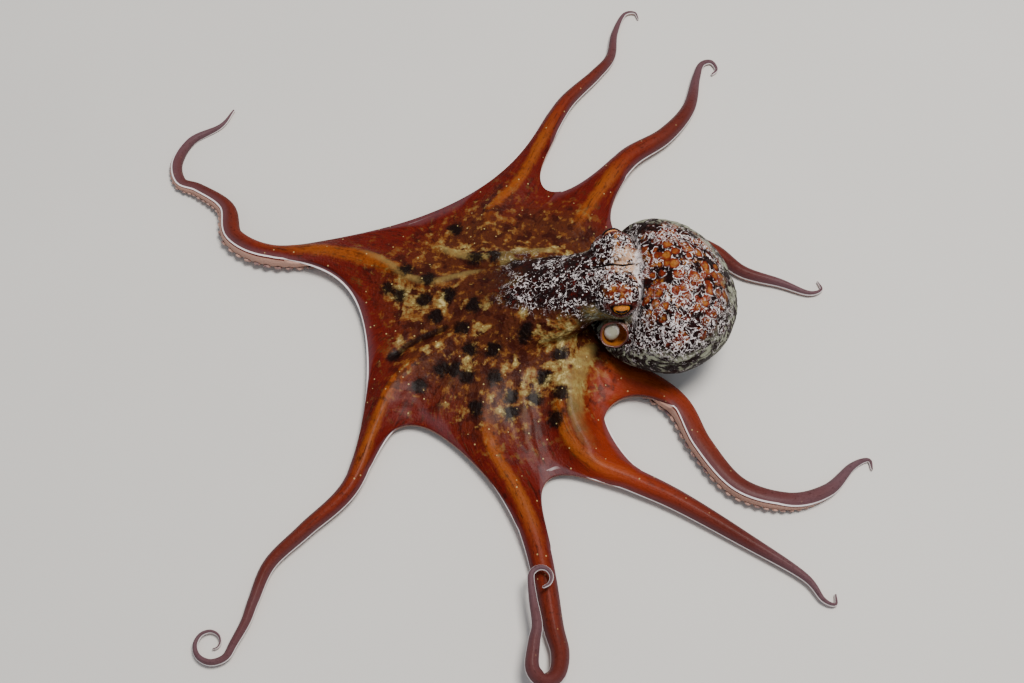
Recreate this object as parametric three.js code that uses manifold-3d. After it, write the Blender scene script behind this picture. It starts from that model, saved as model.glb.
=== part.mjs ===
// An octopus at rest on a flat floor, its web spread and its arms laid out, in millimetres.
// +Z is up, the mantle points along +X, the animal's right side is +Y, and the origin is on
// the floor under the mouth. Every arm is in three lengths, every pair of neighbouring arms
// carries a web, and head, mantle, funnel and eyes are solids of their own.
import * as THREE from "three";
import { mergeVertices } from "three/addons/utils/BufferGeometryUtils.js";
import Module from "manifold-3d";

const wasm = await Module();
wasm.setup();

// Driving sizes.
const GAP = 0.4; // clearance between neighbouring solids
const SINK = 1.2; // how far the flesh would pass the floor; it is pressed flat there
const WEB_THICKNESS = 2.4;
const ROOT_LENGTH = 12; // how far an arm runs into the head before it is cut
const EYE_RADIUS = 8;
const FUNNEL_RADIUS = 9.5;
const FUNNEL_WALL = 2;

// Facets.
const ARM_SIDES = 10;
const ARM_ROWS = { base: 6, middle: 7, tip: 12 };
const WEB_STEPS = [8, 5];
const BODY_SIDES = 24;
const FUNNEL_SIDES = 16;
const MERGE = 1e-3; // corners nearer than this are one corner
const RING_ROWS = 1.5;
const BALL_FACETS = [14, 8];
const TRIM = 0.04; // slivers thinner than this, left by a cut, are closed up

const clamp = THREE.MathUtils.clamp;
const lerp = THREE.MathUtils.lerp;
const smooth = THREE.MathUtils.smoothstep;

// ---------------------------------------------------------------- arms
// A route is the line along the top of an arm, [x, y, height], from the edge of the head to
// the tip. width is half the arm's breadth at its root, and taper how late it thins.
// cuts are the shares of the length where the arm is parted.
const ARMS = {
  arm_right_1: {
    width: 11.5,
    taper: 2.2,
    cuts: [0.36, 0.68],
    route: [
      [-46, 2, 29], [-72, 11, 24], [-112, 30, 18], [-151, 43, 15], [-197, 43, 15], [-226, 58, 14],
      [-234, 84, 11.5], [-256, 101, 9], [-271, 108, 8], [-276, 126, 7], [-267, 147, 5.5],
      [-246, 161, 4], [-237, 176, 2.6],
    ],
  },
  arm_right_2: {
    width: 9.5,
    taper: 2,
    cuts: [0.35, 0.68],
    route: [
      [-33, 25, 27], [-43, 43, 22], [-44, 62, 19], [-37, 79, 17], [-16, 102, 15], [2, 140, 13],
      [21, 179, 11], [45, 207, 9], [58, 225, 8], [62, 248, 6.5], [70, 268, 4.5], [79, 271, 3.4],
      [82, 265, 2.6],
    ],
  },
  arm_right_3: {
    width: 11.5,
    taper: 1.7,
    cuts: [0.35, 0.68],
    route: [
      [9, 35, 24], [25, 59, 20], [45, 93, 16], [68, 127, 14], [97, 149, 12], [117, 175, 9],
      [125, 205, 6.5], [130, 219, 5], [138, 222, 4], [142, 215, 3.2], [138, 210, 2.6],
    ],
  },
  arm_right_4: {
    width: 7.5,
    taper: 2.6,
    cuts: [0.4, 0.7],
    route: [
      [31, 15, 13], [52, 30, 13], [80, 46, 13], [107, 55, 12], [129, 48, 10], [149, 31, 9],
      [176, 22, 7], [196, 14, 5], [206, 17, 3.6], [204, 24, 2.6],
    ],
  },
  arm_left_1: {
    width: 9,
    taper: 1.5,
    cuts: [0.34, 0.68],
    route: [
      [-41, -22, 28], [-71, -37, 22], [-102, -61, 18], [-115, -95, 16], [-130, -138, 14],
      [-159, -168, 12], [-181, -191, 10], [-190, -216, 9], [-194, -230, 8.5],
    ],
    curl: { centre: [-215.5, -244], radius: 15, from: 0, turns: 1.2, close: 0.76, height: [8, 3] },
  },
  arm_left_2: {
    width: 12,
    taper: 1.5,
    cuts: [0.34, 0.68],
    route: [
      [-27, -37, 27], [-38, -58, 22], [-41, -78, 19], [-33, -114, 16], [-16, -143, 15],
      [-5, -173, 14], [2, -204, 13.5], [7, -234, 13.5], [11, -251, 14.5], [9, -265, 17.5],
      [1, -271, 21], [-7, -264, 24], [-6, -248, 24], [-4, -236, 23.5], [-6.5, -219, 23],
    ],
    curl: { centre: [-1, -205], radius: 6.8, from: 180, turns: 0.72, close: 0, height: [23, 22.5] },
  },
  arm_left_3: {
    width: 10.5,
    taper: 2,
    cuts: [0.36, 0.68],
    route: [
      [17, -35, 31], [20, -46, 28], [17, -63, 25], [15, -81, 21], [19, -102, 17], [35, -120, 15],
      [64, -133, 13], [96, -149, 12], [142, -178, 10], [174, -200, 8], [185, -215, 6], [193, -218, 4.2],
      [194, -211, 2.8],
    ],
  },
  arm_left_4: {
    width: 10.5,
    taper: 3,
    cuts: [0.36, 0.68],
    route: [
      [30, -20, 14], [40, -38, 16], [55, -54, 17], [75, -61, 16], [97, -78, 15], [111, -107, 14],
      [134, -137, 13], [167, -147, 11], [195, -139, 8], [214, -121, 5], [226, -116, 3.6],
      [228, -123, 2.6],
    ],
  },
};

// The points of a curl, a spiral that closes in on its centre, turning clockwise from above.
function curlPoints({ centre, radius, from, turns, close, height }) {
  const steps = Math.round(turns * 8);
  return Array.from({ length: steps + 1 }, (_, i) => {
    const along = i / steps;
    const angle = THREE.MathUtils.degToRad(from - 360 * turns * along);
    const r = radius * (1 - close * along);
    return [
      centre[0] + r * Math.cos(angle),
      centre[1] + r * Math.sin(angle),
      lerp(height[0], height[1], along),
    ];
  });
}

function armCurve({ route, curl }) {
  const points = curl ? [...route, ...curlPoints(curl)] : route;
  const curve = new THREE.CatmullRomCurve3(
    points.map((p) => new THREE.Vector3(...p)),
    false,
    "catmullrom",
    0.5,
  );
  curve.arcLengthDivisions = 600;
  return curve;
}

const curves = Object.fromEntries(
  Object.entries(ARMS).map(([name, arm]) => [name, armCurve(arm)]),
);

// Half the breadth of an arm, at a share t of its length.
const halfWidth = (arm, t) => arm.width * (0.08 + 0.92 * (1 - clamp(t, 0, 1) ** arm.taper));

// A point of the arm's skin: t along it, a turn round it and a share of the way out to the skin.
function armPoint(name, t, turn, out, grow) {
  const arm = ARMS[name];
  const curve = curves[name];
  const top = curve.getPointAt(clamp(t, 0, 1));
  const ahead = curve.getTangentAt(clamp(t, 0, 1));
  const side = new THREE.Vector3(-ahead.y, ahead.x, 0).normalize();
  const upward = new THREE.Vector3().crossVectors(ahead, side);
  if (t < 0) top.addScaledVector(ahead.setZ(0).normalize(), t * curve.getLength());
  const wide = halfWidth(arm, t);
  const deep = Math.min(top.z + SINK, 1.9 * wide + 1) / 2;
  const p = top.clone().addScaledVector(upward, -deep);
  p.addScaledVector(side, Math.cos(turn) * (wide + grow) * out);
  p.addScaledVector(upward, Math.sin(turn) * (deep + grow) * out);
  return p.setZ(Math.max(p.z, 0));
}

// ---------------------------------------------------------------- webs
// A web spans two neighbouring arms. reach is how far along each arm its margin runs, in
// millimetres, corner the point that its edge is pulled to, pull how strongly, and height the
// web's own height half-way across, at the head and at its edge.
const WEBS = {
  web_dorsal: {
    arms: ["arm_left_1", "arm_right_1"],
    reach: [150, 150], corner: [-93, 17], pull: 1, height: [27, 8],
  },
  web_right_1: {
    arms: ["arm_right_1", "arm_right_2"],
    reach: [160, 165], corner: [-50, 60], pull: 1.3, height: [24, 7],
  },
  web_right_2: {
    arms: ["arm_right_2", "arm_right_3"],
    reach: [150, 105], corner: [-16, 73], pull: 3.6, height: [20, 8],
  },
  web_right_3: {
    arms: ["arm_right_3", "arm_right_4"],
    reach: [95, 70], corner: [38, 48], pull: 2.2, height: [16, 7],
  },
  web_ventral: {
    arms: ["arm_right_4", "arm_left_4"],
    reach: [58, 52], corner: [50, -3], pull: 1.6, height: [11, 5],
  },
  web_left_3: {
    arms: ["arm_left_4", "arm_left_3"],
    reach: [92, 128], corner: [28, -56], pull: 2, height: [15, 6],
  },
  web_left_2: {
    arms: ["arm_left_3", "arm_left_2"],
    reach: [118, 160], corner: [-2, -124], pull: 6, height: [21, 7],
  },
  web_left_1: {
    arms: ["arm_left_2", "arm_left_1"],
    reach: [140, 140], corner: [-77, -75], pull: 3.4, height: [22, 7],
  },
};

// Where on an arm's height the web is joined: near the top by the head, lower further out.
const joinShare = (along) => lerp(0.9, 0.62, smooth(along, 0, 60));

// A point of a web's middle sheet: u across from arm to arm, v out from the head to the edge.
function webPoint({ arms, reach, corner, pull, height }, u, v) {
  const ends = arms.map((name, i) => {
    const length = curves[name].getLength();
    const p = curves[name].getPointAt(clamp((v * reach[i]) / length, 0, 1));
    p.z *= joinShare(v * reach[i]);
    return p;
  });
  const start = arms.map((name) => curves[name].getPointAt(0));
  const inner = start[0].clone().add(start[1]).multiplyScalar(0.5);
  inner.addScaledVector(inner.clone().setZ(0).normalize(), 4);
  const knee = inner.lerp(new THREE.Vector3(corner[0], corner[1], 0), v);
  const weight = lerp(1, pull, v);
  const [a, b, c] = [(1 - u) ** 2, 2 * weight * u * (1 - u), u ** 2];
  const p = new THREE.Vector3()
    .addScaledVector(ends[0], a)
    .addScaledVector(knee, b)
    .addScaledVector(ends[1], c)
    .divideScalar(a + b + c);
  const middle = lerp(height[0], height[1], v ** 0.7);
  const hold = (2 * u - 1) ** 4;
  p.z = lerp(middle, lerp(ends[0].z, ends[1].z, u), hold);
  return p;
}

// ---------------------------------------------------------------- head and mantle
// Rings from the mouth over the head to the tip of the mantle. Each has its point on the back,
// its point on the belly, half its breadth, and how far its flanks stand forward and up.
const HEAD_RINGS = [
  { back: [-15, -3, 0], belly: [8, 1, 0], half: 11, forward: 0, up: 0 },
  { back: [-38, -8, 5], belly: [27, 3, 3], half: 34, forward: 0, up: 0 },
  { back: [-46, -10, 27], belly: [34, 4, 11], half: 40, forward: 0, up: 4 },
  { back: [-28, -9, 37], belly: [35, -1, 16], half: 36, forward: 0, up: 4 },
  { back: [-3, -9, 46], belly: [36, -3, 19], half: 33, forward: 0, up: 3 },
  { back: [18, -5, 58], belly: [37, -3, 21], half: 29, forward: 0, up: 1 },
  { back: [34, -2, 66], belly: [39, -2, 22], half: 27, forward: 0, up: 0 },
  { back: [50, 0, 70], belly: [40, 0, 22], half: 28, forward: -2, up: 0 },
  { back: [63, -2, 70], belly: [41, 0, 22], half: 27, forward: -3, up: 0 },
];
const MANTLE_RINGS = [
  { back: [66, -2, 69], belly: [42, -2, 20], half: 29, forward: -4, up: 0 },
  { back: [71, -3, 76], belly: [38, -3, 17], half: 41, forward: -7, up: 0 },
  { back: [80, -6, 82], belly: [47, -6, 12], half: 51, forward: -3, up: 0 },
  { back: [90, -10, 86], belly: [66, -10, 8], half: 56, forward: 1, up: 0 },
  { back: [104, -13, 84], belly: [88, -13, 9], half: 55, forward: 0, up: 0 },
  { back: [118, -14, 75], belly: [108, -14, 16], half: 46, forward: 0, up: 0 },
  { back: [129, -15, 62], belly: [124, -15, 30], half: 32, forward: 0, up: 0 },
  { back: [135, -15, 51], belly: [134, -15, 41], half: 13, forward: 0, up: 0 },
];
const EYES = { eye_left: [54, -25, 61.5], eye_right: [50, 20.8, 65.8] };
const DOMES = [[53.5, -15.5, 57], [51, 14.5, 57.5]]; // the domes that carry the eyes
const DOME_RADIUS = 18.5;

const vector = (p) => new THREE.Vector3(...p);

// A smooth run through one measure of a list of rings, at a share k of the way.
function along(rings, key, k) {
  const values = rings.map((ring) => vector([].concat(ring[key], 0, 0).slice(0, 3)));
  return new THREE.CatmullRomCurve3(values, false, "catmullrom", 0.5).getPoint(k);
}

function ringPoint(rings, k, turn, out, grow) {
  const back = along(rings, "back", k);
  const belly = along(rings, "belly", k);
  const middle = back.clone().add(belly).multiplyScalar(0.5);
  const radius = back.clone().sub(middle);
  radius.setLength(radius.length() + grow);
  const flank = Math.sin(turn) ** 2;
  const p = middle.addScaledVector(radius, Math.cos(turn) * out);
  p.y += Math.sin(turn) * (along(rings, "half", k).x + grow) * out;
  p.x -= flank * along(rings, "forward", k).x * out;
  p.z += flank * along(rings, "up", k).x * out;
  for (const dome of rings === HEAD_RINGS ? DOMES : []) {
    const way = p.clone().sub(vector(dome));
    if (way.length() < DOME_RADIUS + grow) p.addScaledVector(way, (DOME_RADIUS + grow) / way.length() - 1);
  }
  return p.setZ(Math.max(p.z, 0));
}

// ---------------------------------------------------------------- solids
// Each is a primitive of three.js with its vertices moved, closed and facing out.
function bend(geometry, place) {
  const position = geometry.attributes.position;
  const p = new THREE.Vector3();
  for (let i = 0; i < position.count; i += 1) {
    p.copy(place(position.getX(i), position.getY(i), position.getZ(i)));
    position.setXYZ(i, p.x, p.y, p.z);
  }
  return geometry;
}

function solidOf(geometry) {
  const bare = geometry.clone();
  bare.deleteAttribute("normal");
  bare.deleteAttribute("uv");
  const merged = mergeVertices(bare, MERGE);
  const vertProperties = merged.attributes.position.array;
  const triVerts = new Uint32Array(merged.index.array);
  const closed = () => new wasm.Manifold(new wasm.Mesh({ numProp: 3, vertProperties, triVerts }));
  const made = closed();
  if (made.volume() > 0) return made;
  for (let i = 0; i < triVerts.length; i += 3) {
    [triVerts[i + 1], triVerts[i + 2]] = [triVerts[i + 2], triVerts[i + 1]];
  }
  return closed();
}

// A unit cylinder along Y becomes a tube: rows run along it, and its radius is the way out.
function tube(sides, rows, place) {
  const unit = new THREE.CylinderGeometry(1, 1, 1, sides, rows);
  const bent = bend(unit, (x, y, z) => place(0.5 - y, Math.atan2(z, x), Math.hypot(x, z)));
  return solidOf(bent);
}

function armLength(name, from, to, rows, grow = 0) {
  return tube(ARM_SIDES, rows, (share, turn, out) =>
    armPoint(name, lerp(from, to, share), turn, out, grow),
  );
}

function webSheet(name, grow = 0) {
  const unit = new THREE.BoxGeometry(1, 1, 1, WEB_STEPS[0], WEB_STEPS[1], 1);
  return solidOf(
    bend(unit, (x, y, z) => {
      const p = webPoint(WEBS[name], x + 0.5, y + 0.5);
      return p.setZ(p.z + z * (WEB_THICKNESS + 2 * grow));
    }),
  );
}

function body(rings, grow = 0) {
  return tube(BODY_SIDES, Math.round((rings.length - 1) * RING_ROWS), (share, turn, out) =>
    ringPoint(rings, share, turn, out, grow),
  );
}

const ball = (centre, radius) =>
  solidOf(new THREE.SphereGeometry(radius, ...BALL_FACETS).rotateX(Math.PI / 2).translate(...centre));

// The funnel: an open cup on a bent root that comes out under the left eye.
const FUNNEL = { mouth: [50, -41, 45], aim: [-0.25, -0.62, 0.74], length: 22 };

function funnel(grow = 0) {
  const r = FUNNEL_RADIUS;
  const inner = r - FUNNEL_WALL;
  const lip = FUNNEL.length;
  const outside = [[0, -grow], [r * 0.8 + grow, -grow], [r + grow, lip * 0.6], [r + grow, lip + grow]];
  const inside = [[inner, lip], [inner * 0.8, lip * 0.35], [0, lip * 0.25]];
  const profile = [...outside, ...(grow ? [[0, lip + grow]] : inside)];
  const turned = profile.map((p) => new THREE.Vector2(...p));
  const shape = new THREE.LatheGeometry(turned, FUNNEL_SIDES);
  const aim = vector(FUNNEL.aim).normalize();
  const upright = new THREE.Vector3(0, 1, 0);
  shape.applyQuaternion(new THREE.Quaternion().setFromUnitVectors(upright, aim));
  const foot = vector(FUNNEL.mouth).addScaledVector(aim, -lip);
  return solidOf(shape.translate(foot.x, foot.y, foot.z));
}

const largest = (solid) =>
  solid.decompose().reduce((best, next) => (next.volume() > best.volume() ? next : best));

// ---------------------------------------------------------------- assembly
const solids = {};

const eyeRooms = Object.values(EYES).map((centre) => ball(centre, EYE_RADIUS + GAP));
const headRoom = body(HEAD_RINGS, GAP);
const mantleRoom = body(MANTLE_RINGS, GAP);
const without = (solid, rooms) =>
  largest(rooms.reduce((rest, room) => rest.subtract(room), solid)).simplify(TRIM);
solids.head = without(body(HEAD_RINGS), [mantleRoom, funnel(GAP), ...eyeRooms]);
solids.mantle = without(body(MANTLE_RINGS), [funnel(GAP), ...eyeRooms]);
solids.funnel = funnel();
for (const [name, centre] of Object.entries(EYES)) solids[name] = ball(centre, EYE_RADIUS);

const armRooms = {};
for (const [name, arm] of Object.entries(ARMS)) {
  const length = curves[name].getLength();
  const marks = [-ROOT_LENGTH / length, ...arm.cuts, 1];
  const parts = [["base", ARM_ROWS.base], ["middle", ARM_ROWS.middle], ["tip", ARM_ROWS.tip]];
  armRooms[name] = [];
  parts.forEach(([part, rows], i) => {
    const from = marks[i] + (i ? GAP / length : 0);
    const solid = armLength(name, from, marks[i + 1], rows);
    solids[`${name}_${part}`] = without(solid, [headRoom, mantleRoom]);
    armRooms[name].push(armLength(name, marks[i], marks[i + 1], rows, GAP));
  });
}

for (const [name, web] of Object.entries(WEBS)) {
  const rooms = [headRoom, mantleRoom, ...web.arms.flatMap((arm) => armRooms[arm])];
  solids[name] = without(webSheet(name), rooms);
}

// ---------------------------------------------------------------- colours
const skin = (color, roughness = 0.5) =>
  new THREE.MeshStandardMaterial({ color, roughness, metalness: 0 });
const MATERIALS = {
  mantle: skin(0x6b3a28),
  head: skin(0x5a3024),
  funnel: skin(0xa8622e),
  eye: skin(0xc98a1c, 0.15),
  web: skin(0x7a3a1e),
  arm: skin(0x7c3320),
};
const materialOf = (name) =>
  MATERIALS[name] ?? MATERIALS[Object.keys(MATERIALS).find((key) => name.startsWith(key))];

function meshOf(name, solid) {
  const made = solid.getMesh();
  const geometry = new THREE.BufferGeometry();
  const stride = made.numProp;
  const corners = new Float32Array(made.numVert * 3);
  for (let i = 0; i < made.numVert; i += 1) {
    corners.set(made.vertProperties.subarray(i * stride, i * stride + 3), i * 3);
  }
  geometry.setAttribute("position", new THREE.BufferAttribute(corners, 3));
  geometry.setIndex(new THREE.BufferAttribute(made.triVerts, 1));
  geometry.computeVertexNormals();
  const mesh = new THREE.Mesh(geometry, materialOf(name));
  mesh.name = name;
  return mesh;
}

const octopus = new THREE.Group();
for (const [name, solid] of Object.entries(solids)) octopus.add(meshOf(name, solid));

export default octopus;
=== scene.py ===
"""A still, life-size octopus lying on a flat floor with its web spread and its arms laid out.

Sizes are in millimetres until a mesh is made. +Z is up, the mantle points along +X, the animal's
right side is +Y and the origin is on the floor under the mouth. One skin covers head, mantle,
web and arms; the eyes, the funnel and the suckers are pieces of their own.
"""

import bpy
import numpy as np
from bpy.props import FloatProperty, FloatVectorProperty, IntProperty, PointerProperty
from mathutils import Euler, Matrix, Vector, noise


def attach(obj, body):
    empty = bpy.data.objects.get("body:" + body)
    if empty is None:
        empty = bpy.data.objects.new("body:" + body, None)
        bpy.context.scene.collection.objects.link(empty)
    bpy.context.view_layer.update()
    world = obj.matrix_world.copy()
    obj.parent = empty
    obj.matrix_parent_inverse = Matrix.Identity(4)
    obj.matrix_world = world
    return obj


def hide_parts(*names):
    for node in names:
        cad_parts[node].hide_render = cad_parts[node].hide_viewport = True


bl_info = {
    "name": "Resting Octopus",
    "version": (1, 0, 0),
    "blender": (4, 5, 0),
    "location": "View3D > Sidebar > Octopus",
    "description": "Makes a still octopus: its skin, eyes, funnel and suckers, and a plain stage",
    "category": "Add Mesh",
}

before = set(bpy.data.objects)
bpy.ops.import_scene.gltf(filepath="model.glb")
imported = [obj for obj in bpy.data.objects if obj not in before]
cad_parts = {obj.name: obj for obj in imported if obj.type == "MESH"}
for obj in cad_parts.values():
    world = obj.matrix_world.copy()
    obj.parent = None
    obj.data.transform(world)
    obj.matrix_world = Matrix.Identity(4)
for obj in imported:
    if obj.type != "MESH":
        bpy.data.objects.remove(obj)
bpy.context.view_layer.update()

MM = 0.001
SINK = 1.2  # how far the flesh would pass the floor, where it is pressed flat
FLESH = ("head", "mantle", "web_", "arm_")  # the nodes that the one skin replaces

# ---------------------------------------------------------------- the animal's plan
# A route is the line along the top of an arm, (x, y, height), from the edge of the head to the
# tip. width is half the arm's breadth at its root, taper how late it thins, and roll how far the
# arm is turned over, as (distance along it, degrees).
ARMS = {
    "right_1": {
        "width": 11.5, "taper": 2.2,
        "route": [
            (-46, 2, 29), (-72, 11, 24), (-112, 30, 18), (-151, 43, 15), (-197, 43, 15),
            (-226, 58, 14), (-234, 84, 11.5), (-256, 101, 9), (-271, 108, 8), (-276, 126, 7),
            (-267, 147, 5.5), (-246, 161, 4), (-237, 176, 2.6),
        ],
        "roll": [(110, 0), (160, 46), (230, 54), (300, 46), (345, 0)],
    },
    "right_2": {
        "width": 9.5, "taper": 2,
        "route": [
            (-33, 25, 27), (-43, 43, 22), (-44, 62, 19), (-37, 79, 17), (-16, 102, 15),
            (2, 140, 13), (21, 179, 11), (45, 207, 9), (58, 225, 8), (62, 248, 6.5),
            (70, 268, 4.5), (79, 271, 3.4), (82, 265, 2.6),
        ],
    },
    "right_3": {
        "width": 11.5, "taper": 1.7,
        "route": [
            (9, 35, 24), (25, 59, 20), (45, 93, 16), (68, 127, 14), (97, 149, 12),
            (117, 175, 9), (125, 205, 6.5), (130, 219, 5), (138, 222, 4), (142, 215, 3.2),
            (138, 210, 2.6),
        ],
    },
    "right_4": {
        "width": 7.5, "taper": 2.6,
        "route": [
            (31, 15, 13), (52, 30, 13), (80, 46, 13), (107, 55, 12), (129, 48, 10),
            (149, 31, 9), (176, 22, 7), (196, 14, 5), (206, 17, 3.6), (204, 24, 2.6),
        ],
    },
    "left_4": {
        "width": 10.5, "taper": 3,
        "route": [
            (30, -20, 14), (40, -38, 16), (55, -54, 17), (75, -61, 16), (97, -78, 15),
            (111, -107, 14), (134, -137, 13), (167, -147, 11), (195, -139, 8), (214, -121, 5),
            (226, -116, 3.6), (228, -123, 2.6),
        ],
        "roll": [(55, 0), (95, -42), (190, -48), (235, 0)],
    },
    "left_3": {
        "width": 10.5, "taper": 2,
        "route": [
            (17, -35, 31), (20, -46, 28), (17, -63, 25), (15, -81, 21), (19, -102, 17),
            (35, -120, 15), (64, -133, 13), (96, -149, 12), (142, -178, 10), (174, -200, 8),
            (185, -215, 6), (193, -218, 4.2), (194, -211, 2.8),
        ],
        "roll": [(0, 20), (60, 20), (110, 10), (150, 0)],
    },
    "left_2": {
        "width": 12, "taper": 1.5,
        "route": [
            (-27, -37, 27), (-38, -58, 22), (-41, -78, 19), (-33, -114, 16), (-16, -143, 15),
            (-5, -173, 14), (2, -204, 13.5), (7, -234, 13.5), (11, -251, 14.5), (9, -265, 17.5),
            (1, -271, 21), (-7, -264, 24), (-6, -248, 24), (-4, -236, 23.5), (-6.5, -219, 23),
        ],
        "curl": {
            "centre": (-1, -205), "radius": 6.8, "start": 180, "turns": 0.72, "close": 0,
            "height": (23, 22.5),
        },
    },
    "left_1": {
        "width": 9, "taper": 1.5,
        "route": [
            (-41, -22, 28), (-71, -37, 22), (-102, -61, 18), (-115, -95, 16), (-130, -138, 14),
            (-159, -168, 12), (-181, -191, 10), (-190, -216, 9), (-194, -230, 8.5),
        ],
        "curl": {
            "centre": (-215.5, -244), "radius": 15, "start": 0, "turns": 1.2, "close": 0.76,
            "height": (8, 3),
        },
    },
}

# The webs, clockwise from above. A web spans the arm named and the next one. reach is how far
# along each arm it runs, corner the point that its edge is pulled to, pull how strongly, height
# how high its edge stands half-way across, and columns its share of the mesh.
WEBS = {
    "right_1": {"reach": (160, 165), "corner": (-50, 60), "pull": 1.3, "height": 7, "columns": 42},
    "right_2": {"reach": (150, 105), "corner": (-16, 73), "pull": 3.6, "height": 8, "columns": 22},
    "right_3": {"reach": (95, 70), "corner": (38, 48), "pull": 2.2, "height": 7, "columns": 16},
    "right_4": {"reach": (58, 52), "corner": (50, -3), "pull": 1.6, "height": 5, "columns": 12},
    "left_4": {"reach": (92, 128), "corner": (28, -56), "pull": 2, "height": 6, "columns": 24},
    "left_3": {"reach": (118, 160), "corner": (-2, -124), "pull": 6, "height": 7, "columns": 34},
    "left_2": {"reach": (140, 140), "corner": (-77, -75), "pull": 3.4, "height": 7, "columns": 34},
    "left_1": {"reach": (150, 150), "corner": (-93, 17), "pull": 1, "height": 8, "columns": 36},
}

# Rings from the crown, where the arms meet, over the head to the tip of the mantle: the point on
# the back, the point on the belly, half the breadth, and how far the flanks stand forward and up.
RINGS = [
    (-46, -10, 27, 34, 4, 11, 40, 0, 4),
    (-28, -9, 37, 35, -1, 16, 36, 0, 4),
    (-3, -9, 46, 36, -3, 19, 32, 0, 3),
    (18, -5, 58, 37, -3, 21, 28, 0, 1),
    (34, -2, 66, 39, -2, 22, 26, 0, 0),
    (50, 0, 70, 40, 0, 22, 27, -2, 0),
    (64.5, -2, 69.5, 41, -1, 21, 28, -4, 0),
    (71, -3, 76, 34, -3, 17, 41, -6, -2),
    (80, -6, 82, 42, -6, 12, 51, -1, -2),
    (90, -10, 86, 66, -10, 8, 56, 1, 0),
    (104, -13, 84, 88, -13, 9, 55, 0, 0),
    (118, -14, 75, 108, -14, 16, 46, 0, 0),
    (129, -15, 62, 124, -15, 30, 32, 0, 0),
    (135, -15, 51, 134, -15, 41, 13, 0, 0),
    (136.5, -15, 46, 136.5, -15, 46, 0, 0, 0),
]
NECK = 6  # the ring at the neck

# The domes that carry the eyes: middle, radius and how softly they rise from the head.
DOMES = [((53.5, -15.5, 57), 18.5, 4), ((51, 14.5, 57.5), 18.5, 4)]

# The eyes: centre and the way each looks.
EYES = {
    "eye_left": ((54, -25, 61.5), (0.05, -0.9, 0.43)),
    "eye_right": ((50, 20.8, 65.8), (-0.1, 0.72, 0.68)),
}
EYE_RADIUS = 8

# Folds of the crown and web: points along each, height, half-width and how quickly its ends fade.
FOLDS = [
    ([(47, -29), (34, -41), (26, -60), (24, -73), (25, -90), (33, -107), (45, -119)], 3.4, 6.5),
    ([(-146, 50), (-115, 34), (-95, 18), (-77, 13), (-60, 16), (-40, 21), (-22, 22)], 2.4, 4),
    ([(-83, 51), (-62, 38), (-40, 31), (-15, 34), (8, 36), (26, 34)], 2.8, 4),
    ([(-60, 26), (-40, 24), (-15, 27), (10, 28)], -2, 3),
    ([(-58, -20), (-81, -28), (-94, -34), (-108, -47)], -2.6, 4),
    ([(26, 0), (38, 0.5), (50, 1), (62, 1)], -2, 3.5),
    ([(-52, -42), (-62, -60), (-70, -84), (-74, -104)], 1.2, 6),
    ([(-8, -52), (-12, -72), (-10, -100), (-2, -128)], 1.3, 6),
]

# The middles of the dark round spots of crown and web, in plan.
SPOTS = [
    (-62, 61), (-96, 24), (-80, 15), (-101, 5), (-83, 0), (-65, 2), (-48, -9), (-20, -8),
    (-56, -26), (-11, -35), (-33, -43), (-49, -41), (-32, -62), (14, -46), (2, -62), (-69, -54),
    (-51, -60), (-21, -75), (-4, -76), (14, -74), (-45, -84), (-84, -66), (-74, -14), (-110, 11),
    (-18, 22), (-33, 31), (-47, 31), (10, -91), (-21, -87), (-103, -42), (-61, -54),
]

# The pale patches between them: middle and radius.
PATCHES = [
    (3, -39, 7), (17, -37, 9), (-22, -53, 5), (-36, -74, 5), (27, -50, 9), (23, -69, 7),
    (-12, -21, 4), (-15, 6, 6), (-72, -38, 4), (-96, -32, 6), (-89, -2, 9), (-99, 8, 8),
    (-51, -51, 6), (13, -60, 12), (-9, -68, 9), (-39, -10, 4), (-42, -28, 4), (-53, 41, 6),
    (-71, 46, 4), (-1, 25, 7), (-26, -84, 6), (-22, 27, 7), (-70, -3, 6), (-79, -38, 4),
    (20, -32, 6), (-40, 34, 5), (-15, 36, 5), (8, 37, 5), (22, 33, 4), (-64, 39, 4),
]
SPREAD = 900  # the girth of the web that its streaks are laid out on

# The mesh: points across the top and the underside of an arm, and rows of each part.
ARM_COLUMNS = 14
SOLE_COLUMNS = 10
WEB_ROWS = 50
ARM_ROWS = 86
BODY_ROWS = 128
MOUTH_ROWS = 8
MOUTH = np.array((-4, -1, 3.0))
FREEING = 45  # over how far an arm's section changes from web to free arm
FAR = 30  # the most that a distance to an edge or a spot counts

# The unwrap, in millimetres: its side, where each sheet lies, and the breadth of the mantle's
# sheet and of the strips for the top and the underside of one arm.
UNWRAP_SIDE = 680
CHARTS = {
    "web": (215, 185),
    "body": (360, 5),
    "sole": (560, 345),
    "arms": (5, 345),
    "arm_soles": (270, 345),
}
BODY_SHEET = 300
ARM_STRIP = 32
SOLE_STRIP = 16
HALVED = np.array((0.5, -0.5))  # an underside lies mirrored and at half its size


# ---------------------------------------------------------------- curves
def lerp(a, b, t):
    return a + (b - a) * t


def smooth(x, low, high):
    t = np.clip((x - low) / (high - low), 0, 1)
    return t * t * (3 - 2 * t)


def unit(v):
    return v / np.maximum(np.linalg.norm(v, axis=-1, keepdims=True), 1e-9)


def smooth_rows(table, at):
    """The rows of a table at the places given, curving evenly from row to row."""
    p = np.asarray(table, float)
    p = np.vstack([2 * p[0] - p[1], p, 2 * p[-1] - p[-2]])
    i = np.clip(np.floor(at).astype(int), 0, len(p) - 4)
    f = (at - i)[..., None]
    before, start, end, after = (p[i + k] for k in range(4))
    go, come = (end - before) / 2, (after - start) / 2
    bend = 3 * (end - start) - 2 * go - come
    return start + go * f + bend * f**2 + (2 * (start - end) + go + come) * f**3


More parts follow.
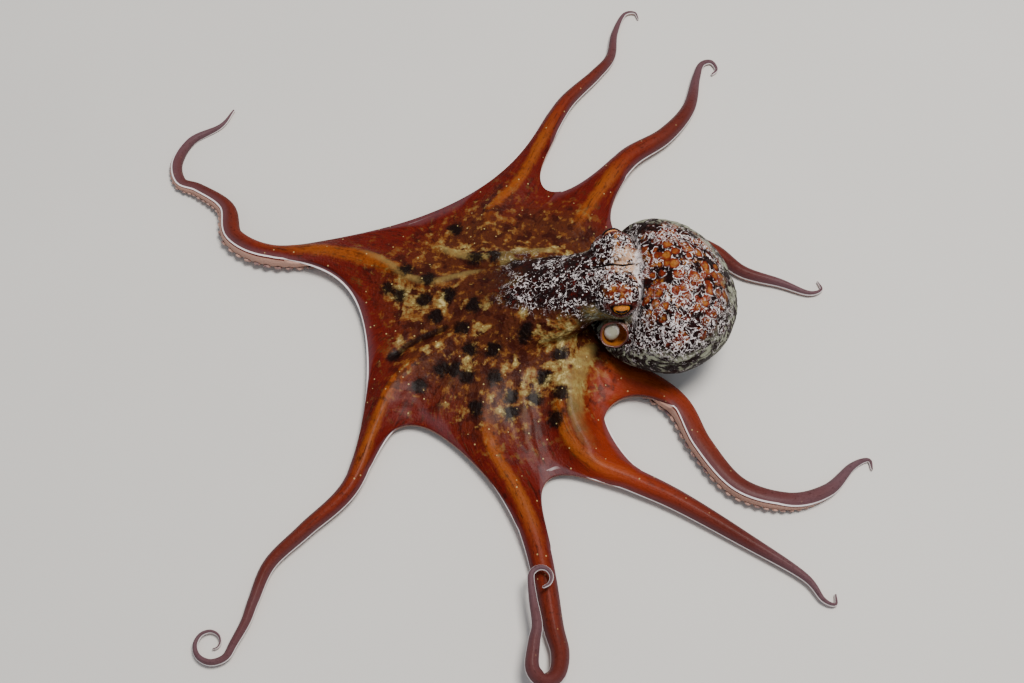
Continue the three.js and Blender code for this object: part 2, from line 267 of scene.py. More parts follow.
class Path:
    """A smooth line through points, read by the distance along it."""

    def __init__(self, points, fine=3000):
        self.points = smooth_rows(points, np.linspace(0, len(points) - 1, fine))
        steps = np.linalg.norm(np.diff(self.points, axis=0), axis=1)
        self.marks = np.concatenate([[0], np.cumsum(steps)])
        self.length = self.marks[-1]
        self.slopes = unit(np.gradient(self.points, self.marks, axis=0))

    def read(self, table, s):
        return np.stack([np.interp(s, self.marks, column) for column in table.T], -1)

    def at(self, s):
        return self.read(self.points, s)

    def ahead(self, s):
        return unit(self.read(self.slopes, s))


def curl_points(centre, radius, start, turns, close, height):
    """The points of a curl, a spiral that closes in on its centre, clockwise from above."""
    steps = round(turns * 8)
    share = np.arange(steps + 1) / steps
    angle = np.radians(start - 360 * turns * share)
    r = radius * (1 - close * share)
    x, y = centre[0] + r * np.cos(angle), centre[1] + r * np.sin(angle)
    return list(zip(x, y, lerp(height[0], height[1], share)))


class Arm:
    """One arm: its line, its breadth and its depth, and the skin round them."""

    def __init__(self, width, taper, route, curl=None, roll=((0, 0),)):
        self.width, self.taper = width, taper
        self.path = Path([*route, *(curl_points(**curl) if curl else [])])
        self.length = self.path.length
        self.roll = np.array(roll, float)

    def half_width(self, s):
        share = np.clip(s / self.length, 0, 1)
        return self.width * (0.08 + 0.92 * (1 - share**self.taper))

    def sucker_radius(self, s):
        return 0.33 * self.half_width(s) * lerp(0.55, 1, smooth(s, 0, 50))

    def lift(self, s):
        """How far the suckers hold the sole off the floor."""
        return 0.36 * self.sucker_radius(s)

    def frame(self, s):
        """The arm's middle, its left side and its upward way, and its half-depth, at s."""
        crest, ahead = self.path.at(s), self.path.ahead(s)
        side = unit(np.stack([-ahead[..., 1], ahead[..., 0], 0 * ahead[..., 0]], -1))
        upward = np.cross(ahead, side)
        deep = np.minimum(crest[..., 2] + SINK, 1.9 * self.half_width(s) + 1) / 2
        middle = crest - upward * deep[..., None]
        turn = np.radians(np.interp(s, self.roll[:, 0], self.roll[:, 1]))[..., None]
        rolled = side * np.cos(turn) + upward * np.sin(turn)
        return middle, rolled, upward * np.cos(turn) - side * np.sin(turn), deep, crest[..., 2]

    def skin(self, s, x, free, sole=None):
        """Points of the skin, x from 1 on the left margin to -1 on the right one.

        free is 0 where the web joins on and 1 where the arm is alone. sole is None on top, or
        the thickness of flesh at the margins on the underside.
        """
        middle, side, upward, deep, height = self.frame(s)
        join = lerp(0.92, 0.74, smooth(s, 15, 130))
        drop = lerp(np.minimum(height * (1 - join), deep), deep, free)
        if sole is None:
            high = deep - drop * (1 - (1 - x**2) ** lerp(1.05, 0.72, free))
        else:
            margin = deep - drop - sole
            keel = np.minimum(self.lift(s) - deep, margin)
            high = lerp(margin, keel, (1 - np.abs(x) ** 4) ** 0.8)
        wide = self.half_width(s) * lerp(0.55, 1, smooth(s, 0, 80))
        p = middle + side * (x * wide)[..., None] + upward * high[..., None]
        p[..., 2] = np.maximum(p[..., 2], self.lift(s))
        return p


# The arms clockwise from above, and which arm comes before and after each.
NAMES = list(ARMS)
ARM = {name: Arm(**ARMS[name]) for name in NAMES}
LAST = {name: NAMES[i - 1] for i, name in enumerate(NAMES)}
NEXT = {name: NAMES[(i + 1) % len(NAMES)] for i, name in enumerate(NAMES)}


def body_point(k, turn):
    """A point of head or mantle: k counts the rings, turn goes round from the back to the right."""
    ring = smooth_rows(RINGS, k + 0 * turn)
    middle = (ring[..., :3] + ring[..., 3:6]) / 2
    p = middle + (ring[..., :3] - middle) * np.cos(turn)[..., None]
    flank = np.sin(turn) ** 2
    p[..., 0] -= flank * ring[..., 7]
    p[..., 1] += np.sin(turn) * ring[..., 6]
    p[..., 2] += flank * ring[..., 8]
    head = 1 - smooth(k, NECK, NECK + 1)
    for centre, radius, soft in DOMES:
        way = p - np.array(centre)
        away = np.linalg.norm(way, axis=-1)
        out = (away + radius + np.sqrt((away - radius) ** 2 + soft**2)) / 2 - 0.4 * soft
        grown = np.maximum(out / np.maximum(away, 4), 1)
        p = p + way * ((grown - 1) * head)[..., None]
    return p


# ---------------------------------------------------------------- the skin's mesh
class Skin:
    """Gathers the skin: points with their measures, and sheets of faces with their unwrap.

    The measures of a point are how far it is from the white edge, its share of the way out
    (0 at the crown, 1 at the web's edge, 2 at a tip), how far along its arm it is, 1 on an arm's
    crest, the ring it is on behind the crown, 1 on the underside, and its turn round the crown.
    """

    USUAL = {"edge": FAR, "out": 0, "run": 0, "ridge": 0, "body": 0, "under": 0, "turn": 0}

    def __init__(self):
        self.points, self.measures, self.count = [], {name: [] for name in self.USUAL}, 0
        self.faces, self.unwrap = [], []

    def add(self, points, **measures):
        """Adds a grid of points and returns the grid of their numbers."""
        shape = points.shape[:-1]
        size = int(np.prod(shape))
        self.points.append(points.reshape(-1, 3))
        for name, value in (self.USUAL | measures).items():
            self.measures[name].append(np.broadcast_to(value, shape).reshape(-1))
        ids = np.arange(self.count, self.count + size).reshape(shape)
        self.count += size
        return ids

    def sheet(self, ids, uv, under=False):
        """Faces over a grid whose rows go outward and whose columns go clockwise."""
        corners = [(0, 0), (0, 1), (1, 1), (1, 0)]
        if under:
            corners.reverse()
        rows, columns = ids.shape
        pick = [(slice(i, rows - 1 + i), slice(j, columns - 1 + j)) for i, j in corners]
        self.faces.append(np.stack([ids[p] for p in pick], -1).reshape(-1, 4))
        self.unwrap.append(np.stack([uv[p] for p in pick], -2).reshape(-1, 4, 2))

    def fan(self, centre, ring, uv, centre_uv, under=False):
        """Closes a ring with triangles to one point, as quads whose last two corners are one."""
        order = -1 if under else 1
        a, b = (ring[:-1], ring[1:])[::order]
        ua, ub = (uv[:-1], uv[1:])[::order]
        self.faces.append(np.stack([np.full(len(a), centre), b, a, a], -1))
        self.unwrap.append(np.stack([np.broadcast_to(centre_uv, ua.shape), ub, ua, ua], 1))

    def whole(self):
        """All points, faces, unwrap and measures, without the points that no face uses."""
        points, faces = np.concatenate(self.points), np.concatenate(self.faces)
        used, renumbered = np.unique(faces, return_inverse=True)
        measures = {name: np.concatenate(parts)[used] for name, parts in self.measures.items()}
        return points[used], renumbered.reshape(faces.shape), np.concatenate(self.unwrap), measures


def closed(grid):
    return np.concatenate([grid, grid[:, :1]], axis=1)


def run_length(grid, axis):
    """How far each point of a grid lies from the start of its own row or column."""
    steps = np.linalg.norm(np.diff(grid, axis=axis), axis=-1)
    lead = np.zeros_like(np.take(steps, [0], axis=axis))
    return np.concatenate([lead, np.cumsum(steps, axis=axis)], axis=axis)


def across(columns):
    """Places across an arm, close together at its margins, from 1 on the left to -1."""
    return np.cos(np.pi * np.arange(columns) / (columns - 1))[None]


def freedom(beyond):
    """0 where an arm is part of the web and 1 where it is alone, well beyond the web's edge."""
    return smooth(beyond / FREEING, -0.9, 1)


def reaches(name):
    """How far along an arm the webs on its left and its right go."""
    return WEBS[LAST[name]]["reach"][1], WEBS[name]["reach"][0]


def arm_rows(arm, start):
    """The distances of an arm's free rows, close together where it is thin."""
    s = np.linspace(start, arm.length, 600)
    density = 1 / (0.3 + 0.7 * arm.half_width(s) / arm.width)
    marks = np.concatenate([[0], np.cumsum((density[1:] + density[:-1]) / 2)])
    return np.interp(np.linspace(0, marks[-1], ARM_ROWS + 1), marks, s)


def arc_between(a, b, plan):
    """Arcs from a to b that leave both arms along their margins and keep the middle of plan."""
    go, come = (unit(np.gradient(margin, axis=0)) for margin in (a, b))
    both, half = go + come, plan.shape[1] // 2
    back = ((a + b) / 2 - plan[:, half]) * both
    most = 0.5 * np.linalg.norm(a - b, axis=1)
    handle = np.clip(back.sum(1) / (0.375 * (both**2).sum(1) + 1e-6), 0.1 * most, most)
    handle = handle[:, None]
    a, near, far, b = (p[:, None] for p in (a, a - go * handle, b - come * handle, b))
    u = np.linspace(0, 1, plan.shape[1])[None, :, None]
    arc = (1 - u) ** 3 * a + u**3 * b
    arc = arc + 3 * (1 - u) ** 2 * u * near + 3 * (1 - u) * u**2 * far
    return arc + (plan[:, half] - arc[:, half])[:, None] * (4 * u * (1 - u)) ** 2


def web_sheet(name, a, b, v):
    """The rows of a web between the margins a and b, evenly divided, at the shares v."""
    web = WEBS[name]
    inner = sum(ARM[n].path.at(0.0)[:2] for n in (name, NEXT[name])) / 2
    inner = inner * (1 + 4 / np.linalg.norm(inner))
    between = lerp(inner, (a[:, :2] + b[:, :2]) / 2, smooth(v, 0, 0.3)[:, None])
    knee = lerp(between, np.array(web["corner"], float), v[:, None] ** 1.6)[:, None]
    weight = lerp(1, web["pull"], v**1.6)[:, None]
    u = np.linspace(0, 1, 240)[None]
    parts = [(1 - u) ** 2 + 0 * weight, 2 * weight * u * (1 - u), u**2 + 0 * weight]
    total = sum(parts)
    guides = (a[:, None, :2], knee, b[:, None, :2])
    plan = sum((part / total)[..., None] * p for part, p in zip(parts, guides))
    arc = arc_between(a[:, :2], b[:, :2], plan)
    plan = lerp(plan, arc, 0.9 * smooth(v, 0.4, 1)[:, None, None])
    middle = lerp((a[:, 2] + b[:, 2]) / 2, web["height"], v**1.3)[:, None]
    high = lerp(middle, lerp(a[:, 2:], b[:, 2:], u), (2 * u - 1) ** 4)
    fine = np.concatenate([plan, high[..., None]], -1)
    even = np.linspace(0, 1, web["columns"] + 2)[1:-1]
    return np.array([
        np.stack([np.interp(even * run[-1], run, column) for column in row.T], -1)
        for row, run in zip(fine, run_length(fine, 1))
    ])


def web_ring(shape):
    """The top and the underside of web and arms from the crown to the web's edge.

    Each is a ring of parts, an arm and a web by turns. A part holds its points, how far along
    the arm they are, and how far across it, which is 2 on a web.
    """
    v = 1 - (1 - np.linspace(0, 1, WEB_ROWS + 1)) ** 1.25
    v = v[:, None]
    thin = shape.web_thickness * np.sqrt(1 - v**14)
    tops, soles, ring_top, ring_sole = [], [], [], []
    for name in NAMES:
        left, right = reaches(name)
        for columns, flesh, parts in ((ARM_COLUMNS, None, tops), (SOLE_COLUMNS, thin, soles)):
            x = across(columns) + 0 * v
            s = v * lerp(right, left, (1 + x) / 2)
            parts.append((ARM[name].skin(s, x, freedom(s - s[-1:]), flesh), s, x))
    for i, name in enumerate(NAMES):
        s = v * lerp(*WEBS[name]["reach"], np.linspace(0, 1, WEBS[name]["columns"]))
        left, right = tops[i][0][:, -1], tops[(i + 1) % len(NAMES)][0][:, 0]
        web = web_sheet(name, left, right, v[:, 0])
        ring_top += [tops[i], (web, s, 2 + 0 * s)]
        ring_sole += [soles[i], (web - np.array((0, 0, 1)) * thin[..., None], s, 2 + 0 * s)]
    return v, ring_top, ring_sole


def joined(ring):
    """The parts of a ring side by side, and the column at which each begins."""
    marks = np.concatenate([[0], np.cumsum([part[0].shape[1] for part in ring])])
    return *(np.concatenate([part[k] for part in ring], axis=1) for k in range(3)), marks


def edge_distance(points, arm_starts):
    """How far every point within the web's rows lies from the white edge of web or arm."""
    rim = points[-1]
    tangent = unit(np.roll(rim, -1, axis=0) - np.roll(rim, 1, axis=0))
    away = np.linalg.norm(np.cross(points - rim, tangent), axis=-1)
    away = np.maximum(away, np.linalg.norm(points - rim, axis=-1) - 12)
    for start in arm_starts:
        part = slice(start, start + ARM_COLUMNS)
        run = run_length(points[:, part], 1)
        left, right = away[:, start], away[:, start + ARM_COLUMNS - 1]
        away[:, part] = np.minimum(left[:, None] + run, right[:, None] + run[:, -1:] - run)
    return away


def build_skin(shape):
    """The whole skin as points, faces, an unwrap and the measures that its finish reads."""
    skin = Skin()
    v, ring_top, ring_sole = web_ring(shape)
    top, top_s, top_x, top_marks = joined(ring_top)
    sole, sole_s, sole_x, sole_marks = joined(ring_sole)
    girth = run_length(closed(top)[WEB_ROWS // 2][None], 1)[0]
    turn = 2 * np.pi * girth[:-1] / girth[-1]
    top_ids = skin.add(
        top, edge=edge_distance(top, top_marks[:-1:2]), out=v, run=top_s,
        ridge=np.clip(1 - np.abs(top_x), 0, 1), turn=turn,
    )

    # The underside has points of its own up to the web's edge, where it is welded to the top.
    ends, top_ends = (np.stack([m[:-1], m[1:] - 1], 1).ravel() for m in (sole_marks, top_marks))
    sole_turn = np.interp(np.arange(sole_marks[-1]), ends, turn[top_ends])
    sole_ids = skin.add(
        sole, out=v, run=sole_s, ridge=np.clip(1 - np.abs(sole_x), 0, 1), under=1,
        turn=sole_turn,
    )
    sole_ids[-1, ends] = top_ids[-1, top_ends]
    for a, b, c, d in zip(top_marks[1::2], top_marks[2::2], sole_marks[1::2], sole_marks[2::2]):
        sole_ids[-1, c:d] = top_ids[-1, a:b]

    # Head and mantle.
    crown, rings = crown_turns(top[0])
    count = len(crown)
    spread = smooth(np.arange(1, BODY_ROWS + 1) / (BODY_ROWS + 1), 0, 0.5)[:, None]
    even = crown.mean() + 2 * np.pi * (np.arange(count) - (count - 1) / 2) / count
    body = body_point(rings[:, None], lerp(crown, lerp(crown, even, 0.8), spread))
    shift = top[0] - body_point(np.zeros(count), crown)
    risen = run_length(np.concatenate([top[:1], body]), 0)[1:]
    body = body + shift * np.exp(-((risen / 16) ** 2))[..., None]
    body_ids = skin.add(body, run=-risen, body=rings[:, None], turn=turn)
    body_ids = closed(np.concatenate([top_ids[:1], body_ids]))
    body_uv = body_unwrap(closed(np.concatenate([top[:1], body])))
    end = len(RINGS) - 1
    pole = skin.add(body_point(np.array([end + 0.0]), np.zeros(1)), run=-200, body=end)[0]

    # The underside of the head, in to the mouth.
    inward = np.linspace(0, 1, MOUTH_ROWS + 2)[1:-1][:, None, None]
    disc = lerp(sole[:1], MOUTH, inward)
    disc[..., 2] = lerp(sole[:1, :, 2], MOUTH[2], smooth(inward[..., 0], 0, 0.8))
    disc_ids = skin.add(disc, run=-10, under=1, turn=sole_turn)
    disc_ids = closed(np.concatenate([disc_ids[::-1], sole_ids[:1]]))
    disc_uv = closed(np.concatenate([disc[::-1], sole[:1]]))[..., :2] * HALVED + CHARTS["sole"]
    mouth = skin.add(MOUTH[None] + (0, 0, 5), run=-10, under=1)[0]

    # Faces with their places on the unwrap, each sheet in its own rectangle.
    skin.sheet(closed(top_ids), closed(top)[..., :2] + CHARTS["web"])
    skin.sheet(closed(sole_ids), closed(sole)[..., :2] * HALVED + CHARTS["sole"], under=True)
    skin.sheet(disc_ids, disc_uv, under=True)
    skin.fan(mouth, disc_ids[0], disc_uv[0], MOUTH[:2] * HALVED + CHARTS["sole"], under=True)
    skin.sheet(body_ids[::-1], body_uv[::-1])
    skin.fan(pole, body_ids[-1], body_uv[-1], body_uv[-1].mean(0) + (0, 3))
    for number, (a, c) in enumerate(zip(top_marks[:-1:2], sole_marks[:-1:2])):
        part = slice(a, a + ARM_COLUMNS)
        free_arm(skin, number, top_ids[-1, part], sole_ids[-1, c:c + SOLE_COLUMNS], turn[part])

    points, faces, uv, measures = skin.whole()
    points = finish_shape(points, faces, measures, shape)
    flow = flow_lines(measures.pop("turn"), measures.pop("run"))
    measures.update(flow=flow, spot=spot_distance(points), pale=paleness(points))
    return points, faces, uv, measures


def crown_turns(crown):
    """The turn of every column where it leaves the crown, and the rings of the body's rows."""
    ring = np.array(RINGS[0], float)
    middle = (ring[:3] + ring[3:6]) / 2
    half_x, lean = middle[0] - ring[0], ring[1] - middle[1]
    cosine = (middle[0] - crown[:, 0]) / half_x
    sine = (crown[:, 1] - middle[1] - lean * cosine) / ring[6]
    turn = np.maximum.accumulate(np.unwrap(np.arctan2(sine, cosine)))
    fine = np.linspace(0, len(RINGS) - 1, 1400)
    lines = body_point(fine[:, None], np.radians((0, 60, 120, 240, 300))[None])
    steps = np.linalg.norm(np.diff(lines, axis=0), axis=-1).mean(1)
    dense = 1 + 2.2 * np.exp(-(((lines[1:, 1, 0] - 51) / 13) ** 2))  # closest at the eyes
    marks = np.concatenate([[0], np.cumsum(steps * dense)])
    wanted = np.linspace(0, marks[-1], BODY_ROWS + 2)[1:-1]
    return turn, np.interp(wanted, marks, fine)


def body_unwrap(grid):
    """Head and mantle rolled out flat: the girth goes across and the way up goes up."""
    share = np.linspace(0, 1, grid.shape[1])[None] + np.zeros((len(grid), 1))
    up = run_length(grid, 0).mean(1)[:, None] + 0 * share
    return np.stack([share * BODY_SHEET, up], -1) + CHARTS["body"]


def free_arm(skin, number, top_start, sole_start, turn):
    """The part of an arm beyond the web, with its cap at the tip."""
    arm = ARM[NAMES[number]]
    left, right = reaches(NAMES[number])
    mean, slant = (left + right) / 2, (left - right) / 2
    web_end = mean / arm.length
    rows = arm_rows(arm, mean)
    near_web = 1 - smooth(np.arange(1, ARM_ROWS + 1) / ARM_ROWS, 0, 0.35)[:, None]
    grids = []
    for columns, flesh in ((ARM_COLUMNS, None), (SOLE_COLUMNS, 0)):
        x = across(columns) + 0 * near_web
        s = rows[1:, None] + slant * x * near_web
        out = 1 + np.clip((s / arm.length - web_end) / (1 - web_end), 0, 1)
        grids.append((arm.skin(s, x, freedom(s - mean - slant * x), flesh), s, x, out))
    top, s, x, out = grids[0]
    margin = run_length(top, 1)
    edge = np.minimum(margin, margin[:, -1:] - margin)
    top_ids = skin.add(top, edge=edge, out=out, run=s, ridge=1 - np.abs(x), turn=turn)
    sole, s, x, out = (part[:, 1:-1] for part in grids[1])
    low = skin.add(sole, out=out, run=s, ridge=1 - np.abs(x), under=1, turn=turn[1])
    low = np.concatenate([top_ids[:, :1], low, top_ids[:, -1:]], axis=1)
    at_tip = np.array([arm.length])
    end = arm.path.at(at_tip) + arm.path.ahead(at_tip) * arm.half_width(arm.length) * 0.8
    end[:, 2] = arm.frame(at_tip)[0][:, 2]
    tip = skin.add(end, edge=0, out=2, run=arm.length, turn=turn[3])[0]

    top_ids = np.concatenate([top_start[None], top_ids])
    sole_ids = np.concatenate([sole_start[None], low])
    run = (rows - mean)[:, None]
    wide = np.concatenate([margin[:1], margin])
    uv = np.stack([wide - wide[:, -1:] / 2 + (ARM_STRIP / 2 - 1), run + 0 * wide], -1)
    uv = uv + (np.array(CHARTS["arms"]) + (ARM_STRIP * number, 0))
    x = across(SOLE_COLUMNS)
    half = 0.5 * x * arm.half_width(rows)[:, None]
    low_uv = np.stack([SOLE_STRIP / 2 - 1 - half, 0.5 * run + 0 * x], -1)
    low_uv = low_uv + (np.array(CHARTS["arm_soles"]) + (SOLE_STRIP * number, 0))
    skin.sheet(top_ids, uv)
    skin.sheet(sole_ids, low_uv, under=True)
    for ids, flat, under in ((top_ids, uv, False), (sole_ids, low_uv, True)):
        skin.fan(tip, ids[-1][::-1], flat[-1][::-1], flat[-1].mean(0) + (0, 1), under=under)

# ---------------------------------------------------------------- folds, lids and papillae
def neighbours(faces):
    """Every edge of the skin."""
    pairs = np.concatenate([faces[:, [i, (i + 1) % 4]] for i in range(4)])
    pairs = pairs[pairs[:, 0] != pairs[:, 1]]
    return np.unique(np.sort(pairs, axis=1), axis=0)


def gathered(at, values, count):
    """The sum of the vectors in values that belong to each point."""
    return np.stack([np.bincount(at, values[:, k], count) for k in range(3)], -1)


def relax(points, edges, weight, times):
    """Evens the skin out where weight is above nothing."""
    a = np.concatenate([edges[:, 0], edges[:, 1]])
    b = np.concatenate([edges[:, 1], edges[:, 0]])
    share = np.bincount(a, minlength=len(points)).astype(float)[:, None]
    for _ in range(times):
        mean = gathered(a, points[b], len(points)) / share
        points = points + (mean - points) * weight[:, None]
    return points


def outward(points, faces):
    """The skin's normals."""
    corners = points[faces]
    normal = np.cross(corners[:, 2] - corners[:, 0], corners[:, 3] - corners[:, 1])
    return unit(gathered(faces.ravel(), np.repeat(normal, 4, axis=0), len(points)))


def line_distance(points, line):
    """How far points lie from a line in plan, and how far along it, from 0 to 1."""
    path = Path([(x, y, 0) for x, y in line], 120)
    gap = points[:, None, :2] - path.points[None, :, :2]
    away = np.linalg.norm(gap, axis=-1)
    near = away.argmin(1)
    return away[np.arange(len(points)), near], path.marks[near] / path.length


def fold_skin(points, measures):
    """Raises or sinks the skin along the folds of crown and web."""
    body, out = measures["body"], measures["out"]
    upper = np.flatnonzero((measures["under"] == 0) & (body < NECK + 0.4) & (out < 1))
    rise = np.zeros(len(points))
    for line, height, reach in FOLDS:
        away, share = line_distance(points[upper], line)
        ends = smooth(share, 0, 0.2) * (1 - smooth(share, 0.8, 1))
        rise[upper] += height * np.exp(-((away / reach) ** 2)) * ends
    rise = rise * (1 - smooth(out, 0.85, 1))
    # The folds' heights are kept for the finish, which paints light on crests and shade in valleys.
    measures["fold"] = rise / 3
    return points + np.array((0, 0, 1)) * rise[:, None]


def eye_axes(look):
    """The way an eye looks, its level way and its upright way."""
    look = unit(np.array(look))
    level = unit(np.cross((0, 0, 1), look))
    return look, level, np.cross(look, level)


def lid_eyes(points, shape):
    """Lays the skin over each eyeball, opens an almond and marks how near each point is to it."""
    rim = np.full(len(points), 9.0)
    for centre, look in EYES.values():
        look, level, upright = eye_axes(look)
        way = points - np.array(centre)
        away = np.linalg.norm(way, axis=1)
        ray = way / np.maximum(away, 1e-6)[:, None]
        facing, sideways, high = ray @ look, ray @ level, ray @ upright
        near = facing > 0
        wide, tall = np.abs(sideways) / shape.lid_width, np.abs(high) / shape.lid_height
        shut = np.sqrt(wide**2.2 + tall**1.7)
        bag = np.exp(-(((high + 0.56) / 0.17) ** 2) - (sideways / 0.8) ** 4)
        brow = np.exp(-(((high - 0.5) / 0.18) ** 2) - (sideways / 0.85) ** 4)
        edge = np.exp(-(((shut - 1.22) / 0.16) ** 2))
        lid = EYE_RADIUS + 0.9 + 0.6 * edge + 0.9 * bag + 0.7 * brow
        blend = smooth(facing, 0.05, 0.6) * (1 - smooth(away, 12, 16))
        target = np.maximum(away, lerp(away, lid, blend))
        opened = lerp(EYE_RADIUS - 1.6, target, smooth(shut, 0.86, 1.14))
        points = np.array(centre) + ray * np.where(near, lerp(away, opened, blend), away)[:, None]
        rim = np.where(near & (away < 13), np.minimum(rim, shut), rim)
    return points, rim


def papillae(points, normals, measures, shape):
    """Small soft warts: close-set on the mantle, lower on head and web, none below or on tips."""
    body, out = measures["body"], measures["out"]
    mantle = smooth(body, NECK + 0.3, NECK + 1.5) * (1 - smooth(body, 12.2, 13.5))
    head = smooth(body, 0.5, 2) * (1 - mantle)
    web = (1 - smooth(out, 0.5, 0.95)) * (body <= 0.5)
    mantle = mantle * lerp(0.2, 1, smooth(points[:, 2], 54, 74))
    height = (0.95 * mantle + 0.75 * head + 0.4 * web) * (measures["under"] == 0)
    rise = np.zeros(len(points))
    for i in np.flatnonzero(height > 0.01):
        p = Vector(points[i])
        wide, fine = noise.voronoi(p * 0.16)[0][0], noise.noise(p * 0.42)
        rise[i] = height[i] * (1.1 * (0.45 - wide) * 1.6 + 0.45 * fine)
    for centre, _ in EYES.values():
        rise *= smooth(np.linalg.norm(points - np.array(centre), axis=1), 9.5, 15)
    return points + normals * rise[:, None] * shape.papilla_height


# The funnel: the middle of its mouth, the way it points, its length and how far it bends.
FUNNEL_MOUTH = np.array((50.0, -41, 45))
FUNNEL_AIM = unit(np.array((-0.25, -0.62, 0.74)))
FUNNEL_LENGTH = 22
FUNNEL_BEND = 5


def clear_funnel(points):
    """Sinks the skin that would stand inside the funnel below the bottom of its tube."""
    way = points - FUNNEL_MOUTH
    along = way @ FUNNEL_AIM
    away = np.linalg.norm(way - along[:, None] * FUNNEL_AIM, axis=1)
    inside = (1 - smooth(away, 7.6, 9.2)) * (along > -FUNNEL_LENGTH) * (along < 8)
    sunk = inside * (np.minimum(along, -0.74 * FUNNEL_LENGTH) - along)
    return points + FUNNEL_AIM * sunk[:, None]


def finish_shape(points, faces, measures, shape):
    """Evens out the joins and adds folds, lids and papillae."""
    edges = neighbours(faces)
    body, out = measures["body"], measures["out"]
    crown = (1 - smooth(body, 0.8, 3.4)) * (1 - smooth(out, 0.08, 0.4))
    seam = np.exp(-((measures["ridge"] / 0.4) ** 2)) * (1 - smooth(out, 0.6, 0.94)) * (body <= 0)
    points = relax(points, edges, 0.85 * np.maximum(crown, 0.8 * seam), times=110)
    points = fold_skin(points, measures)
    neck = np.exp(-(((body - NECK) / 1.1) ** 2)) * 0.45
    points = relax(points, edges, np.maximum(neck, 0.3 * crown), times=4)
    points, measures["lid"] = lid_eyes(points, shape)
    points = papillae(points, outward(points, faces), measures, shape)
    points = clear_funnel(points)
    points[:, 2] = np.maximum(points[:, 2], 0)
    return points


def flow_lines(turn, run):
    """Coordinates that change fast round the crown and slowly outward, for radial streaks."""
    radius = SPREAD / (2 * np.pi)
    return np.stack([radius * np.cos(turn), radius * np.sin(turn), 0.15 * run], -1)


def spot_distance(points):
    """How far each point lies from the nearest dark spot, in plan."""
    away = [np.linalg.norm(points[:, :2] - spot, axis=1) for spot in SPOTS]
    return np.minimum(np.min(away, axis=0), FAR)


def paleness(points):
    """1 in the middle of a pale patch, falling to 0 a little outside it."""
    share = [
        1 - np.linalg.norm(points[:, :2] - (x, y), axis=1) / (1.7 * r) for x, y, r in PATCHES
    ]
    return np.maximum(np.max(share, axis=0), 0)


def plain_mesh(name, points, faces, measures=None):
    """A mesh in metres from points in millimetres, with its measures."""
    mesh = bpy.data.meshes.new(name)
    mesh.from_pydata((np.asarray(points) * MM).tolist(), [], faces)
    mesh.validate()
    mesh.update()
    for key, values in (measures or {}).items():
        values = np.asarray(values, np.float32)
        kind, field = ("FLOAT", "value") if values.ndim == 1 else ("FLOAT_VECTOR", "vector")
        mesh.attributes.new(key, kind, "POINT").data.foreach_set(field, values.ravel())
    return mesh


def linked(name, data):
    """A new object in the scene."""
    piece = bpy.data.objects.new(name, data)
    bpy.context.scene.collection.objects.link(piece)
    return piece


def shown(name, mesh, material):
    """Links a mesh as an object with its finish, smooth-shaded."""
    mesh.materials.append(material)
    mesh.shade_smooth()
    return linked(name, mesh)


# ---------------------------------------------------------------- what a user may change
def octopus_colour(name, red, green, blue, about):
    """A colour that a user may change, given here as it looks on a screen, from 0 to 255."""
    shares = [c / 255 for c in (red, green, blue)]
    linear = [((c + 0.055) / 1.055) ** 2.4 if c > 0.04 else c / 12.92 for c in shares]
    return FloatVectorProperty(
        name=name, description=about, subtype="COLOR", size=3, min=0, max=1, default=linear
    )


class OCTOPUS_PG_shape(bpy.types.PropertyGroup):
    """The sizes of flesh and skin that a user may change, in millimetres."""

    web_thickness: FloatProperty(
        name="Web thickness", description="Thickness of the web, in millimetres",
        default=2.4, min=0.5, max=5,
    )
    papilla_height: FloatProperty(
        name="Papilla height", description="How far the skin's warts stand up, in millimetres",
        default=1.0, min=0, max=3,
    )
    lid_width: FloatProperty(
        name="Lid width", description="Half the eye's opening, as a share of the ball's radius",
        default=0.76, min=0.3, max=0.95,
    )
    lid_height: FloatProperty(
        name="Lid height", description="Half the opening's height, as a share of the radius",
        default=0.42, min=0.1, max=0.9,
    )
    eye_sides: IntProperty(
        name="Eye sides", description="Sides of each eyeball", default=48, min=16, max=96
    )
    sucker_gap: FloatProperty(
        name="Sucker spacing", description="Step from sucker to sucker, in sucker radii",
        default=1.12, min=1, max=3,
    )
    sucker_size: FloatProperty(
        name="Sucker size", description="Scale of every sucker", default=1.0, min=0.5, max=1.2
    )


